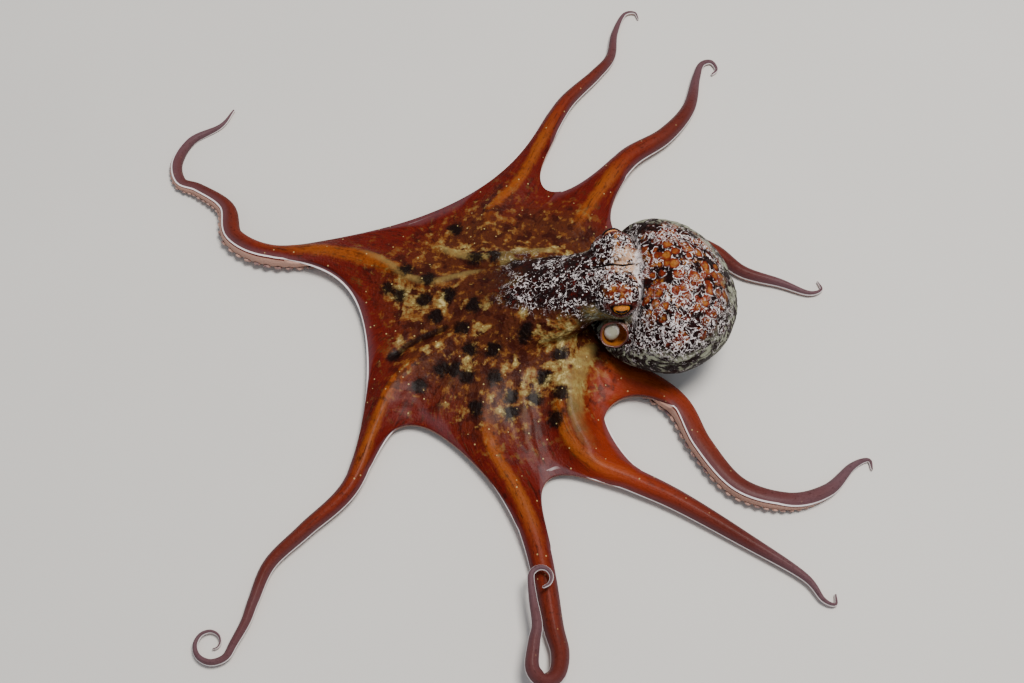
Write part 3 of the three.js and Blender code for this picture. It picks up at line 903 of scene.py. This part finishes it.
class OCTOPUS_PG_colours(bpy.types.PropertyGroup):
    """The colours of the finishes."""

    maroon: octopus_colour("Maroon", 84, 14, 5, "Web and arms, outer part")
    dark_maroon: octopus_colour("Dark maroon", 40, 5, 2, "Streaks of the web")
    brown: octopus_colour("Brown", 80, 32, 26, "Free arms, first half")
    ochre: octopus_colour("Ochre", 122, 58, 12, "Ridges of the arms near the head")
    # Rust also serves as painted shade deep inside the funnel.
    rust: octopus_colour("Rust", 106, 34, 13, "Ridges of the arms further out")
    # Painted light: a brighter orange over web and arms beside the funnel, where the mantle's shade
    # falls.
    painted_light_ember: octopus_colour("Ember", 148, 52, 20, "Web and arms beside the funnel")
    mauve: octopus_colour("Mauve", 92, 68, 74, "Arm tips and margins")
    umber: octopus_colour("Umber", 68, 29, 12, "Ground colour of crown and web near the head")
    amber: octopus_colour("Amber", 128, 80, 30, "Warm clouds of crown and web")
    cream: octopus_colour("Cream", 190, 172, 116, "Pale flecks")
    # Green also serves as painted highlight on the folds' crests.
    green: octopus_colour("Green", 128, 110, 62, "Pale patches of crown and web")
    # Spot also serves as painted shade in the folds' valleys and along the head's middle crease.
    spot: octopus_colour("Spot", 9, 1, 0, "Dark round spots")
    black: octopus_colour("Black", 20, 4, 4, "Head and mantle, ground colour")
    orange: octopus_colour("Orange", 146, 90, 36, "Blobs of the mantle")
    peach: octopus_colour("Peach", 206, 164, 132, "Patch between the domes of the eyes")
    white: octopus_colour("White", 226, 216, 216, "Margins and the net on head and mantle")
    silver: octopus_colour("Silver", 140, 142, 122, "Flanks of the mantle")
    sole: octopus_colour("Sole", 184, 142, 126, "Underside and suckers")
    gold: octopus_colour("Gold", 226, 142, 34, "Iris")
    lining: octopus_colour("Lining", 170, 98, 36, "Inside of the funnel")


class OCTOPUS_PG_studio(bpy.types.PropertyGroup):
    """The stage's light and floor."""

    key_power: FloatProperty(
        name="Key power", description="Power of the soft key light, in watts",
        default=85, min=0, subtype="POWER",
    )
    key_size: FloatProperty(
        name="Key size", description="Side of the key light",
        default=0.8, min=0.1, subtype="DISTANCE",
    )
    sky: FloatProperty(
        name="Sky", description="Strength of the even light", default=0.48, min=0
    )
    floor_colour: octopus_colour("Floor", 205, 202, 198, "Plain floor")


# ---------------------------------------------------------------- finishes
class Wire:
    """One socket of a shader tree; arithmetic on it adds Math nodes."""

    def __init__(self, finish, socket):
        self.finish, self.socket = finish, socket

    def math(self, operation, *values):
        settings, inputs = {"operation": operation}, dict(enumerate(values))
        return self.finish.node("ShaderNodeMath", settings, inputs)

    def __add__(self, other):
        return self.math("ADD", self, other)

    def __sub__(self, other):
        return self.math("SUBTRACT", self, other)

    def __rsub__(self, other):
        return self.math("SUBTRACT", other, self)

    def __mul__(self, other):
        return self.math("MULTIPLY", self, other)

    def __truediv__(self, other):
        return self.math("DIVIDE", self, other)

    def __pow__(self, other):
        return self.math("POWER", self, other)

    def __abs__(self):
        return self.math("ABSOLUTE", self)

    def over(self, other):
        return self.math("MAXIMUM", self, other)

    __radd__, __rmul__ = __add__, __mul__


class Finish:
    """A material in the making."""

    def __init__(self, name):
        self.material = bpy.data.materials.new(name)
        self.material.use_nodes = True
        self.tree = self.material.node_tree
        self.tree.nodes.clear()

    def node(self, kind, settings=None, inputs=None, out=0):
        """Adds a node: its settings first, then the values or links of its sockets."""
        made = self.tree.nodes.new(kind)
        for key, value in (settings or {}).items():
            if key == "stops":
                ramp = made.color_ramp.elements
                while len(ramp) < len(value):
                    ramp.new(1)
                for element, (position, colour) in zip(ramp, value):
                    element.position, element.color = position, (*colour, 1)
            else:
                setattr(made, key, value)
        for key, value in (inputs or {}).items():
            if isinstance(value, Wire):
                self.tree.links.new(value.socket, made.inputs[key])
            else:
                made.inputs[key].default_value = value
        return Wire(self, made.outputs[out]) if len(made.outputs) else made

    def measures(self, *names):
        """The mesh's measures of those names; flow is the only vector."""
        outs = ("Vector" if name == "flow" else "Fac" for name in names)
        return [
            self.node("ShaderNodeAttribute", {"attribute_name": name}, out=out)
            for name, out in zip(names, outs)
        ]

    def step(self, value, low, high):
        """0 below low, 1 above high and smooth between; low may be the greater."""
        ends = {"Value": value, "From Min": low, "From Max": high}
        return self.node("ShaderNodeMapRange", {"interpolation_type": "SMOOTHSTEP"}, ends)

    def mix(self, share, a, b):
        a, b = (c if isinstance(c, Wire) else (*c, 1) for c in (a, b))
        return self.node("ShaderNodeMix", {"data_type": "RGBA"}, {0: share, 6: a, 7: b}, out=2)

    def coats(self, ground, *coats):
        """Lays colours over a ground one after another, each by its share."""
        for share, colour in coats:
            ground = self.mix(share, ground, colour)
        return ground

    def noise(self, vector, size, detail=2, rough=0.5, bend=0, out=0):
        """Clouds of about the size given, in millimetres."""
        sockets = {"Vector": vector, "Scale": 1 / size, "Detail": detail, "Roughness": rough}
        return self.node("ShaderNodeTexNoise", {}, sockets | {"Distortion": bend}, out)

    def cells(self, vector, size, feature="F1"):
        """How far it is to the middle of the nearest cell, in cells."""
        sockets = {"Vector": vector, "Scale": 1 / size}
        return self.node("ShaderNodeTexVoronoi", {"feature": feature}, sockets, "Distance")

    def ramp(self, value, *stops):
        return self.node("ShaderNodeValToRGB", {"stops": stops}, {"Fac": value})

    def vector(self, operation, a, b):
        key = "Scale" if operation == "SCALE" else 1
        return self.node("ShaderNodeVectorMath", {"operation": operation}, {0: a, key: b})

    def place(self):
        """The piece's own place, in millimetres."""
        return self.vector("SCALE", self.node("ShaderNodeTexCoord", out="Object"), 1000.0)

    def shine(self, colour, roughness, bump=None, **constant):
        """Ends the material in a surface shader; bump is (height, distance in metres)."""
        sockets = {"Base Color": colour, "Roughness": roughness}
        for key, value in constant.items():
            sockets[key.replace("_", " ").title().replace("Ior", "IOR")] = value
        if bump:
            height = {"Height": bump[0], "Distance": bump[1], "Strength": 1.0}
            sockets["Normal"] = self.node("ShaderNodeBump", inputs=height)
        surface = self.node("ShaderNodeBsdfPrincipled", inputs=sockets)
        self.node("ShaderNodeOutputMaterial", inputs={"Surface": surface})
        return self.material


def skin_finish(c):
    """Wet skin: mottled crown, red web, ochre ridges, white margins and a white net behind."""
    f = Finish("octopus_skin")
    step, mix = f.step, f.mix
    place = f.place()
    x, y, z = (f.node("ShaderNodeSeparateXYZ", inputs={0: place}, out=i) for i in range(3))
    edge, out, ridge, body, flow = f.measures("edge", "out", "ridge", "body", "flow")
    under, spot, lid, patched, fold = f.measures("under", "spot", "lid", "pale", "fold")
    aside = f.vector("ADD", place, (40.0, 7.0, 90.0))
    cloud = f.noise(place, 26, 2) - 0.5
    patch = f.noise(place, 5.5, 3, 0.6) - 0.5
    blotch = f.noise(aside, 9, 2, 0.5) - 0.5
    fleck = f.noise(aside, 4.2, 3, 0.65) - 0.5
    grain = f.noise(place, 1.6, 2, 0.6) - 0.5
    streak = f.noise(flow, 2.4, 3, 0.65) - 0.5

    # Web and arms from the crown outward: ridges, streaks, grain, and painted light by the funnel.
    reach = out * 0.5 + cloud * 0.14 + patch * 0.04
    web = f.ramp(
        reach, (0.0, c.umber), (0.16, c.umber), (0.3, c.maroon), (0.52, c.maroon),
        (0.62, c.brown), (0.74, c.brown), (0.95, c.mauve),
    )
    top = f.ramp(
        reach, (0.0, c.umber), (0.14, c.umber), (0.24, c.ochre), (0.42, c.ochre),
        (0.54, c.rust), (0.72, c.brown), (0.97, c.mauve),
    )
    # Painted light: brighter orange on the web and arm roots beside the funnel, lightening the
    # mantle's shade there.
    painted_light_under_mantle = step(x + cloud * 20, 16, 50) * step(y + cloud * 20, -34, -60) * step(out, 1.5, 0.6)
    flesh = f.coats(
        web,
        (step(ridge + patch * 0.7 + streak * 0.3, 0.15, 0.75), top),
        (step(streak + patch * 0.5, 0.0, 0.22) * step(out, 1.6, 0.9) * 0.8, c.dark_maroon),
        (step(streak + grain * 0.4, -0.06, -0.26) * 0.3 * step(out, 1.1, 0.9), c.ochre),
        (step(grain + fleck * 0.6, 0.05, 0.3) * 0.5, c.dark_maroon),
        (painted_light_under_mantle * 0.5, c.painted_light_ember),
    )

    # The mottled middle: dark clouds, amber and green ones, cream in the palest, then painted
    # light on the folds' crests, painted shade in their valleys, and the dark spots.
    middle = step(out + cloud * 0.6 + patch * 0.3, 0.8, 0.4)
    mottle = patch + streak * 0.25 + cloud * 0.2 + patched * 0.27
    ring = spot + patch * 10 + grain * 4
    flesh = f.coats(
        flesh,
        (middle * step(blotch + fleck * 0.4, -0.02, -0.14) * 0.75, c.dark_maroon),
        (middle * step(mottle + blotch * 0.4, 0.03, 0.16) * 0.55, c.amber),
        (middle * step(mottle, 0.1, 0.26) * 0.85, c.green),
        (middle * step(mottle + grain * 0.4, 0.24, 0.44) * 0.8, c.cream),
        # Painted highlight in pale green on the folds' crests, painted shade near black in their
        # valleys.
        (step(fold + patch * 0.4, 0.3, 0.8) * middle * 0.55, c.green),
        (step(fold + patch * 0.3, -0.4, -0.75) * 0.8, c.spot),
        (step(ring, 8, 3.2) * step(out, 1.05, 0.8) * 0.96, c.spot),
    )

    # White margins with a mauve border, and tiny pale specks.
    flesh = f.coats(
        flesh,
        (step(edge, 7, 1.2) * step(out, 0.3, 0.9) * 0.5, c.mauve),
        (step(edge, 1.35, 0.8), c.white),
        (step(f.cells(place, 7), 0.1, 0.06) * step(out, 1.9, 0.9) * 0.6, c.cream),
    )

    # Head and crown: near black, orange on the lobes over the eyes, peach at the nape.
    loose = cloud * 12 + patch * 16
    hood = step(y + x * 0.35 + loose, -28, -17) * step(z - x * 0.15 + loose * 0.5, 28, 37)
    hood = (hood * step(x + loose * 1.5, -58, -2)).over(step(body + patch, 4.7, 5.3))
    lobe = step(x, 38, 48) * step(blotch + patch * 0.4, -0.02, 0.12) * step(z, 64, 71)
    nape = step(abs(y - 3 + patch * 14), 11, 6) * step(x + patch * 10, 46, 54)
    nape = nape * step(body, 6.4, 6) * step(fleck, -0.12, 0.02)
    dark = f.coats(
        c.black,
        (step(fleck + grain * 0.4, -0.02, 0.14) * 0.85, c.dark_maroon),
        (step(fleck + cloud * 0.5, 0.12, 0.24) * 0.7, c.maroon),
        (lobe * 0.75, mix(step(patch, 0.0, 0.1), c.rust, c.orange)),
        (nape * 0.9, c.peach),
    )

    # A broken white net over them, painted shade along the crease down the middle and pale cheeks.
    coil = abs(f.noise(place, 3.1, 1, 0.5, 0.9) - 0.5)
    face = step(x, 30, 44)
    broken = step(blotch * -0.7 - fleck * 0.7 + cloud * 0.3 + face * 0.12, -0.03, 0.06)
    crumb = step(f.cells(place, 2.9), 0.24, 0.16) * step(patch + face * 0.1, -0.02, 0.06)
    net = (step(coil, 0.045, 0.02) * broken).over(crumb)
    # Painted shade: near black along the crease down the head's middle.
    groove_shade = step(abs(y - 1.5 + cloud * 3), 1.1, 0.5) * step(x, 34, 38) * step(body, 6.2, 5.8)
    cheek = step(z + patch * 14 - abs(y) * 0.2, 54, 45) * step(body, 3, 4.5)
    crown = f.coats(
        dark,
        (net * step(x + loose, -38, -6), c.white),
        (groove_shade * step(z, 55, 60), c.spot),
        (cheek * 0.9, mix(step(patch + grain, -0.05, 0.12), c.green, c.silver)),
    )

    # Mantle: orange blobs in dark cells under a white net, and marbled silver flanks.
    shaken = f.vector("SCALE", f.noise(place, 1 / 0.3, out="Color"), 3.0)
    blob = f.cells(f.vector("ADD", place, shaken), 8.0)
    heat = ((x - 88) ** 2.0 + (y + 12) ** 2.0) ** 0.5 + cloud * 50 + blotch * 40
    warm = step(blob + grain * 0.15 + patch * 0.3, 0.54, 0.42) * step(heat, 38, 20)
    halo = step(abs(blob + patch * 0.3 - 0.53), 0.045, 0.02)
    halo = halo * step(fleck + patch * 0.5, -0.02, 0.06)
    near_side = step(y + cloud * 30, -18, -36) * step(blotch + fleck, -0.22, -0.06)
    clump = step(blotch * 0.9 - fleck * 0.5 + cloud * 0.8, 0.0, 0.09).over(near_side)
    mesh = (net * clump * (1.0 - warm * 0.7)).over(halo)
    veins = f.noise(f.vector("MULTIPLY", place, (0.6, 1.0, 1.0)), 7, 3, 0.6, 1.4) - 0.5
    # Painted shade: less silver low on the mantle, where its underside is shaded; less also towards
    # its tip.
    low_shade_and_tip = step(z + cloud * 20, 56, 40) * 0.07 + step(body, 10, 12) * 0.05
    marble = f.coats(
        c.black,
        (step(veins + blotch * 0.5 - low_shade_and_tip, -0.06, 0.08), c.silver),
        (step(grain + patch, 0.14, 0.24) * 0.5, c.white),
    )
    level = z - y * 0.125 + patch * 10 + cloud * 12
    flank = step(level + step(body, 9, 7) * 26 + step(body, 10.5, 12.5) * 6, 74, 65)
    sac = f.coats(
        dark,
        (warm, mix(step(blob + patch * 0.6, 0.42, 0.16), c.rust, c.orange)),
        (step(blob + grain * 0.2, 0.18, 0.04) * warm * 0.5, c.amber),
        (mesh * 0.9, c.white),
        (flank * 0.95, marble),
    )

    # All of them together, with a pale collar, the lids and the pale underside.
    collar = step(abs(body + patch * 0.5 - 6.3), 0.5, 0.2) * step(grain + patch, -0.14, 0.04)
    skin = f.coats(
        flesh,
        (hood, crown),
        (step(body + patch * 0.8, 6.1, 6.5), sac),
        (collar * step(z, 50, 60) * 0.8, c.white),
        (step(lid, 1.5, 1.25) * 0.85, c.brown),
        (step(lid, 1.2, 1.06), c.spot),
        (step(under, 0.35, 0.75), c.sole),
    )
    wart = step(f.cells(place, 2.9, "SMOOTH_F1"), 0.55, 0.1)
    relief = wart * step(body, 0.2, 1.5) * 0.8 + wart * middle * 0.35 + grain * 0.6 + streak * 0.6
    relief = (relief + net * hood * 0.35) * (1.0 - flank * step(body, 6, 7) * 0.8)
    return f.shine(
        skin, 0.48 + grain * 0.3 + hood * 0.1, (relief, 0.0007),
        specular_ior_level=0.07, coat_weight=0.03, coat_roughness=0.2,
    )


def eye_finish(c):
    """A gold iris with a dark slit lying level, in a dark ball."""
    f = Finish("octopus_eye")
    level, high = f.measures("level", "high")
    away = (level * level + high * high) ** 0.5
    rays = f.node("ShaderNodeCombineXYZ", inputs={0: level * 9.0, 1: high * 14.0, 2: 0.0})
    slit = (abs(level) / 0.52) ** 3.0 + (abs(high + 0.19 - level * level * 0.25) / 0.16) ** 3.0
    eye = f.coats(
        c.lining,
        (f.step(f.noise(rays, 1, 3), 0.38, 0.64), c.gold),
        (f.step(away, 0.62, 0.74), c.black),
        (f.step(slit, 1.15, 0.85), (0.004, 0.002, 0.002)),
    )
    return f.shine(
        eye, 0.2 + away * 0.1, specular_ior_level=0.25, coat_weight=0.25, coat_roughness=0.03
    )


def pale_finish(c, name, hollow=False):
    """Soft pale flesh for suckers and funnel; a hollow piece is browner inside, with painted shade
    deep in it.
    """
    f = Finish(name)
    step, place = f.step, f.place()
    cloud = f.noise(place, 6, 3) - 0.5
    grain = f.noise(place, 1.2, 2) - 0.5
    flesh = f.mix(step(cloud, -0.1, 0.2), c.sole, c.mauve)
    if hollow:
        deep, rim, valve = f.measures("deep", "rim", "valve")
        lining = f.coats(
            c.amber,
            (step(deep + cloud * 0.4, 0.1, 0.8), c.lining),
            # Painted shade: rust deepest in the tube.
            (step(deep + cloud * 0.3, 1.2, 2.0), c.rust),
        )
        flesh = f.coats(
            flesh,
            (step(deep, 0.02, 0.1), lining),
            (step(rim + cloud * 0.5, 0.3, 0.9), c.brown),
            (valve * 0.9, f.mix(step(cloud, -0.05, 0.25), c.silver, c.white)),
        )
    bump = (grain + cloud, 0.0004)
    return f.shine(flesh, 0.4 + grain * 0.2, bump, coat_weight=0.3, coat_roughness=0.15)


def floor_finish(colour):
    f = Finish("studio_floor")
    faint = f.noise(f.place(), 160, 3) - 0.5
    shade = f.mix(f.step(faint, -0.4, 0.4), tuple(v * 0.96 for v in colour), colour)
    return f.shine(shade, 0.75 + faint * 0.05)


# ---------------------------------------------------------------- pieces
def make_skin(shape):
    points, faces, uv, measures = build_skin(shape)
    keep = np.ones(faces.shape, bool)
    keep[:, 3] = faces[:, 2] != faces[:, 3]
    lists = [face[:4 if quad else 3] for face, quad in zip(faces.tolist(), keep[:, 3])]
    mesh = plain_mesh("octopus_skin", points, lists, measures)
    layer = mesh.uv_layers.new(name="OFBake")
    layer.data.foreach_set("uv", (uv[keep] / UNWRAP_SIDE).astype(np.float32).ravel())
    return mesh


def ring_faces(rings, sides):
    """Faces round a tube, from ring to ring."""
    return [
        (i * sides + j, i * sides + k, (i + 1) * sides + k, (i + 1) * sides + j)
        for i in range(rings - 1) for j, k in zip(range(sides), [*range(1, sides), 0])
    ]


def cap(centre, first, sides, below=False):
    """Triangles from the point numbered centre to the ring whose first point is given."""
    pairs = [(first + j, first + (j + 1) % sides) for j in range(sides)]
    return [(centre, b, a) if below else (centre, a, b) for a, b in pairs]


def lathe(profile, sides):
    """Rings of points round +Z for a profile of (radius, height), and their faces."""
    angle = 2 * np.pi * np.arange(sides) / sides
    profile = np.asarray(profile, float)
    r, h = profile[:, :1], profile[:, 1:]
    grid = np.stack([r * np.cos(angle), r * np.sin(angle), h + 0 * angle], -1)
    return grid.reshape(-1, 3), ring_faces(len(profile), sides)


def ball(rows, sides):
    """A unit ball with closed poles."""
    polar = np.linspace(np.pi, 0, rows + 2)[1:-1]
    points, faces = lathe(np.stack([np.sin(polar), np.cos(polar)], -1), sides)
    count = len(points)
    points = np.vstack([points, [[0, 0, -1]], [[0, 0, 1]]])
    faces += cap(count, 0, sides, below=True) + cap(count + 1, count - sides, sides)
    return points, faces


def make_eye(name, sides):
    """A ball with a slightly raised cornea, marked with its own level and upright ways."""
    centre, look = EYES[name]
    look, level, upright = eye_axes(look)
    local, faces = ball(sides // 2, sides)
    bulge = EYE_RADIUS * (1 + 0.05 * smooth(local[:, 2:], 0.72, 1))
    turned = local[:, :1] * level + local[:, 1:2] * upright + local[:, 2:] * look
    front = local[:, 2] > 0
    return plain_mesh(name + "_ball", np.array(centre) + bulge * turned, faces, {
        "level": np.where(front, local[:, 0], np.sign(local[:, 0])),
        "high": np.where(front, local[:, 1], 1),
    })


# The funnel's section from its outer bottom over the lip to its inner one: radius, share of the
# way to the mouth, how deep inside it counts as, and how much of a lip it is.
FUNNEL_SECTION = [
    (7.4, 0, 0, 0), (8.6, 0.3, 0, 0), (9.3, 0.6, 0, 0), (9.5, 0.85, 0, 0), (9.7, 0.96, 0, 0.4),
    (9.5, 1.0, 0, 1), (9.0, 1.02, 0.0, 1), (8.5, 1.0, 0.05, 0.8),
    (8.1, 0.93, 0.2, 0.2), (7.8, 0.8, 0.5, 0), (7.2, 0.6, 0.8, 0), (5.6, 0.42, 1.1, 0),
    (2.5, 0.34, 1.3, 0),
]
FUNNEL_SIDES = 36


def make_funnel():
    """A soft bent tube, open at its mouth, with a rolled lip and a pale flap inside."""
    aim, mouth, sides = FUNNEL_AIM, FUNNEL_MOUTH, FUNNEL_SIDES
    side = unit(np.cross((0, 0, 1), aim))
    rise = np.cross(aim, side)
    last = len(FUNNEL_SECTION) - 1
    rows = smooth_rows(FUNNEL_SECTION, np.linspace(0, 1, 3 * last + 1) * last)
    radius, along, deep, rim = (column[:, None] for column in rows.T)
    angle = 2 * np.pi * np.arange(sides) / sides
    turned = side * np.cos(angle)[:, None] + rise * np.sin(angle)[:, None]
    wave = 1 + 0.05 * np.sin(2 * angle + 0.6) + 0.03 * rim * np.sin(5 * angle)
    dip = rim * 0.7 * np.sin(3 * angle + 1)
    middle = mouth + aim * FUNNEL_LENGTH * (along - 1) + rise * FUNNEL_BEND * -((1 - along) ** 2)
    grid = middle[:, None] + turned * (radius * wave)[..., None] + aim * dip[..., None]
    points = np.concatenate([*grid, grid[:1].mean(1), grid[-1:].mean(1)])
    count = len(points)
    faces = ring_faces(len(rows), sides)
    faces += cap(count - 2, 0, sides, below=True) + cap(count - 1, count - 2 - sides, sides)

    # The flap: a soft ball low in the tube.
    flap, flap_faces = ball(10, 20)
    flap = flap * (5.4, 6.4, 3.8)
    hold = mouth - aim * 5 - side * 2.8 + rise * 0.6
    flap = hold + flap[:, :1] * side + flap[:, 1:2] * rise + flap[:, 2:] * aim
    faces += [tuple(i + count for i in face) for face in flap_faces]
    none = np.zeros(len(flap))
    return plain_mesh("funnel_tube", np.vstack([points, flap]), faces, {
        "deep": np.concatenate([np.repeat(deep, sides), [0, 1.4], none]),
        "rim": np.concatenate([np.repeat(rim, sides), [0, 0], none]),
        "valve": np.concatenate([np.zeros(count), none + 1]),
    })


CUP = [(0.82, -0.25), (1.0, 0.14), (0.86, 0.36), (0.52, 0.14)]  # half a sucker's section
CUP_SIDES = 8
CUP_BOTTOM = 0.08
SUCKER_ROW = 0.42  # how far a row of suckers is from the arm's middle, in half-widths
FIRST_SUCKER = 16.0
BARE_TIP = 5


def sucker_points(gap):
    """Where every sucker sits, the way it faces and its radius, in two rows along each arm."""
    places, aims, sizes = [], [], []
    for name in NAMES:
        arm, web_end = ARM[name], sum(reaches(name)) / 2
        s, side = FIRST_SUCKER, 1
        while s < arm.length - BARE_TIP:
            at = np.array([s])
            places += list(arm.skin(at, np.array([SUCKER_ROW * side]), freedom(at - web_end), 0))
            aims.append(-arm.frame(at)[2][0])
            sizes.append(arm.sucker_radius(at)[0])
            s += gap * sizes[-1]
            side = -side
    return np.array(places), np.array(aims), np.array(sizes)


def sucker_tree():
    """Puts a cup on every point, turned to its aim and grown to its size."""
    tree = bpy.data.node_groups.new("suckers_along_arms", "GeometryNodeTree")
    sockets = {}
    for name, kind, way in (
        ("Points", "Geometry", "INPUT"), ("Cup", "Object", "INPUT"), ("Growth", "Float", "INPUT"),
        ("Finish", "Material", "INPUT"), ("Suckers", "Geometry", "OUTPUT"),
    ):
        made = tree.interface.new_socket(name, in_out=way, socket_type="NodeSocket" + kind)
        sockets[name] = made.identifier

    def add(kind, settings=None, links=None):
        node = tree.nodes.new(kind)
        for key, value in (settings or {}).items():
            setattr(node, key, value)
        for key, value in (links or {}).items():
            if hasattr(value, "is_output"):
                tree.links.new(value, node.inputs[key])
            else:
                node.inputs[key].default_value = value
        return node.outputs

    given = add("NodeGroupInput")
    kind = "GeometryNodeInputNamedAttribute"
    aim = add(kind, {"data_type": "FLOAT_VECTOR"}, {"Name": "aim"})
    size = add(kind, {"data_type": "FLOAT"}, {"Name": "size"})
    cup = add("GeometryNodeObjectInfo", None, {"Object": given["Cup"]})
    turn = add("FunctionNodeAlignRotationToVector", {"axis": "Z"}, {"Vector": aim[0]})
    grow = add("ShaderNodeMath", {"operation": "MULTIPLY"}, {0: size[0], 1: given["Growth"]})
    laid = add("GeometryNodeInstanceOnPoints", None, {
        "Points": given["Points"], "Instance": cup["Geometry"], "Rotation": turn[0],
        "Scale": grow[0],
    })
    real = add("GeometryNodeRealizeInstances", None, {"Geometry": laid[0]})
    done = add(
        "GeometryNodeSetMaterial", None, {"Geometry": real[0], "Material": given["Finish"]}
    )
    add("NodeGroupOutput", None, {0: done[0]})
    return tree, sockets


def make_suckers(shape, material):
    """Cups of one kind on all the arms, as a plain mesh."""
    places, aims, sizes = sucker_points(shape.sucker_gap)
    points, faces = lathe(CUP, CUP_SIDES)
    faces += cap(len(points), len(points) - CUP_SIDES, CUP_SIDES)
    points = np.vstack([points, [[0, 0, CUP_BOTTOM]]])
    cup = linked("sucker_cup", plain_mesh("sucker_cup", points / MM, faces))
    at = plain_mesh("sucker_places", places, [], {"aim": aims, "size": sizes * MM})
    piece = linked("suckers", at)
    modifier = piece.modifiers.new("suckers", "NODES")
    modifier.node_group, sockets = sucker_tree()
    modifier[sockets["Cup"]] = cup
    modifier[sockets["Growth"]] = shape.sucker_size
    modifier[sockets["Finish"]] = material
    view = bpy.context.evaluated_depsgraph_get()
    made = bpy.data.meshes.new_from_object(piece.evaluated_get(view))
    piece.modifiers.clear()
    piece.data = made
    pressed = np.empty(3 * len(made.vertices), np.float32)
    made.vertices.foreach_get("co", pressed)
    pressed[2::3] = np.maximum(pressed[2::3], 0)  # the floor flattens the lowest cups
    made.vertices.foreach_set("co", pressed)
    made.shade_smooth()
    bpy.data.objects.remove(cup)
    return piece


# ---------------------------------------------------------------- operators
FLOOR_REACH = 4000  # from the middle of the floor to each side, in millimetres
FLOOR_HEIGHT = -0.3  # just below the model, so that the two never share a plane
LAMP_PLACE = (0.55, 0.2, 2.4)
CAMERA_PLACE = (-0.020, -0.4729, 0.9204)
CAMERA_TILT = 26  # degrees from straight down


class OCTOPUS_OT_stage(bpy.types.Operator):
    """Make the floor, the soft light and the camera"""

    bl_idname = "octopus.stage"
    bl_label = "Stage"

    def execute(self, context):
        studio = context.scene.octopus_studio
        ways = ((-1, -1), (1, -1), (1, 1), (-1, 1))
        corners = [(x * FLOOR_REACH, y * FLOOR_REACH, FLOOR_HEIGHT) for x, y in ways]
        mesh = plain_mesh("floor", corners, [(0, 1, 2, 3)])
        shown("floor", mesh, floor_finish(studio.floor_colour))
        key = bpy.data.lights.new("key", "AREA")
        key.energy, key.size, key.color = studio.key_power, studio.key_size, (1, 0.96, 0.9)
        lamp = linked("key", key)
        lamp.location = LAMP_PLACE
        lamp.rotation_euler = Vector(LAMP_PLACE).to_track_quat("Z", "Y").to_euler()
        context.scene.world = bpy.data.worlds.new("studio")
        context.scene.world.use_nodes = True
        sky = context.scene.world.node_tree.nodes["Background"].inputs
        sky["Color"].default_value = (0.86, 0.92, 1, 1)
        sky["Strength"].default_value = studio.sky
        camera = linked("camera", bpy.data.cameras.new("camera"))
        camera.data.lens, camera.data.sensor_width = 50, 36
        camera.location = CAMERA_PLACE
        camera.rotation_euler = Euler((np.radians(CAMERA_TILT), 0, 0))
        context.scene.camera = camera
        return {"FINISHED"}


class OCTOPUS_OT_skin(bpy.types.Operator):
    """Make the one skin of head, mantle, web and arms"""

    bl_idname = "octopus.skin"
    bl_label = "Skin"

    def execute(self, context):
        mesh = make_skin(context.scene.octopus_shape)
        piece = shown("octopus_skin", mesh, skin_finish(context.scene.octopus_colours))
        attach(piece, "root")
        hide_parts(*[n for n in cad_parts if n.startswith(FLESH)])
        return {"FINISHED"}


class OCTOPUS_OT_eyes(bpy.types.Operator):
    """Make both eyeballs"""

    bl_idname = "octopus.eyes"
    bl_label = "Eyes"

    def execute(self, context):
        finish = eye_finish(context.scene.octopus_colours)
        for name in EYES:
            mesh = make_eye(name, context.scene.octopus_shape.eye_sides)
            piece = shown(name + "_ball", mesh, finish)
            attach(piece, "root")
            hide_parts(name)
        return {"FINISHED"}


class OCTOPUS_OT_funnel(bpy.types.Operator):
    """Make the funnel that comes out under the left eye"""

    bl_idname = "octopus.funnel"
    bl_label = "Funnel"

    def execute(self, context):
        finish = pale_finish(context.scene.octopus_colours, "funnel_flesh", hollow=True)
        piece = shown("funnel_tube", make_funnel(), finish)
        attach(piece, "root")
        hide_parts("funnel")
        return {"FINISHED"}


class OCTOPUS_OT_suckers(bpy.types.Operator):
    """Make the two rows of suckers under every arm"""

    bl_idname = "octopus.suckers"
    bl_label = "Suckers"

    def execute(self, context):
        finish = pale_finish(context.scene.octopus_colours, "sucker_flesh")
        piece = make_suckers(context.scene.octopus_shape, finish)
        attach(piece, "root")
        return {"FINISHED"}


STEPS = (OCTOPUS_OT_stage, OCTOPUS_OT_skin, OCTOPUS_OT_eyes, OCTOPUS_OT_funnel, OCTOPUS_OT_suckers)


class OCTOPUS_PT_panel(bpy.types.Panel):
    """Lists the pieces of the octopus"""

    bl_idname = "OCTOPUS_PT_panel"
    bl_label = "Octopus"
    bl_space_type = "VIEW_3D"
    bl_region_type = "UI"
    bl_category = "Octopus"

    def draw(self, context):
        for step in STEPS:
            self.layout.operator(step.bl_idname)
        for group in ("octopus_shape", "octopus_colours", "octopus_studio"):
            settings = getattr(context.scene, group)
            for name in type(settings).__annotations__:
                self.layout.prop(settings, name)


GROUPS = {
    "octopus_shape": OCTOPUS_PG_shape,
    "octopus_colours": OCTOPUS_PG_colours,
    "octopus_studio": OCTOPUS_PG_studio,
}
CLASSES = (*GROUPS.values(), *STEPS, OCTOPUS_PT_panel)


def register():
    for made in CLASSES:
        bpy.utils.register_class(made)
    for name, group in GROUPS.items():
        setattr(bpy.types.Scene, name, PointerProperty(type=group))


def unregister():
    for name in GROUPS:
        delattr(bpy.types.Scene, name)
    for made in reversed(CLASSES):
        bpy.utils.unregister_class(made)


def main():
    """Makes every piece."""
    register()
    bpy.ops.octopus.stage()
    bpy.ops.octopus.skin()
    bpy.ops.octopus.eyes()
    bpy.ops.octopus.funnel()
    bpy.ops.octopus.suckers()
    bpy.context.view_layer.update()


if __name__ == "__main__":
    main()
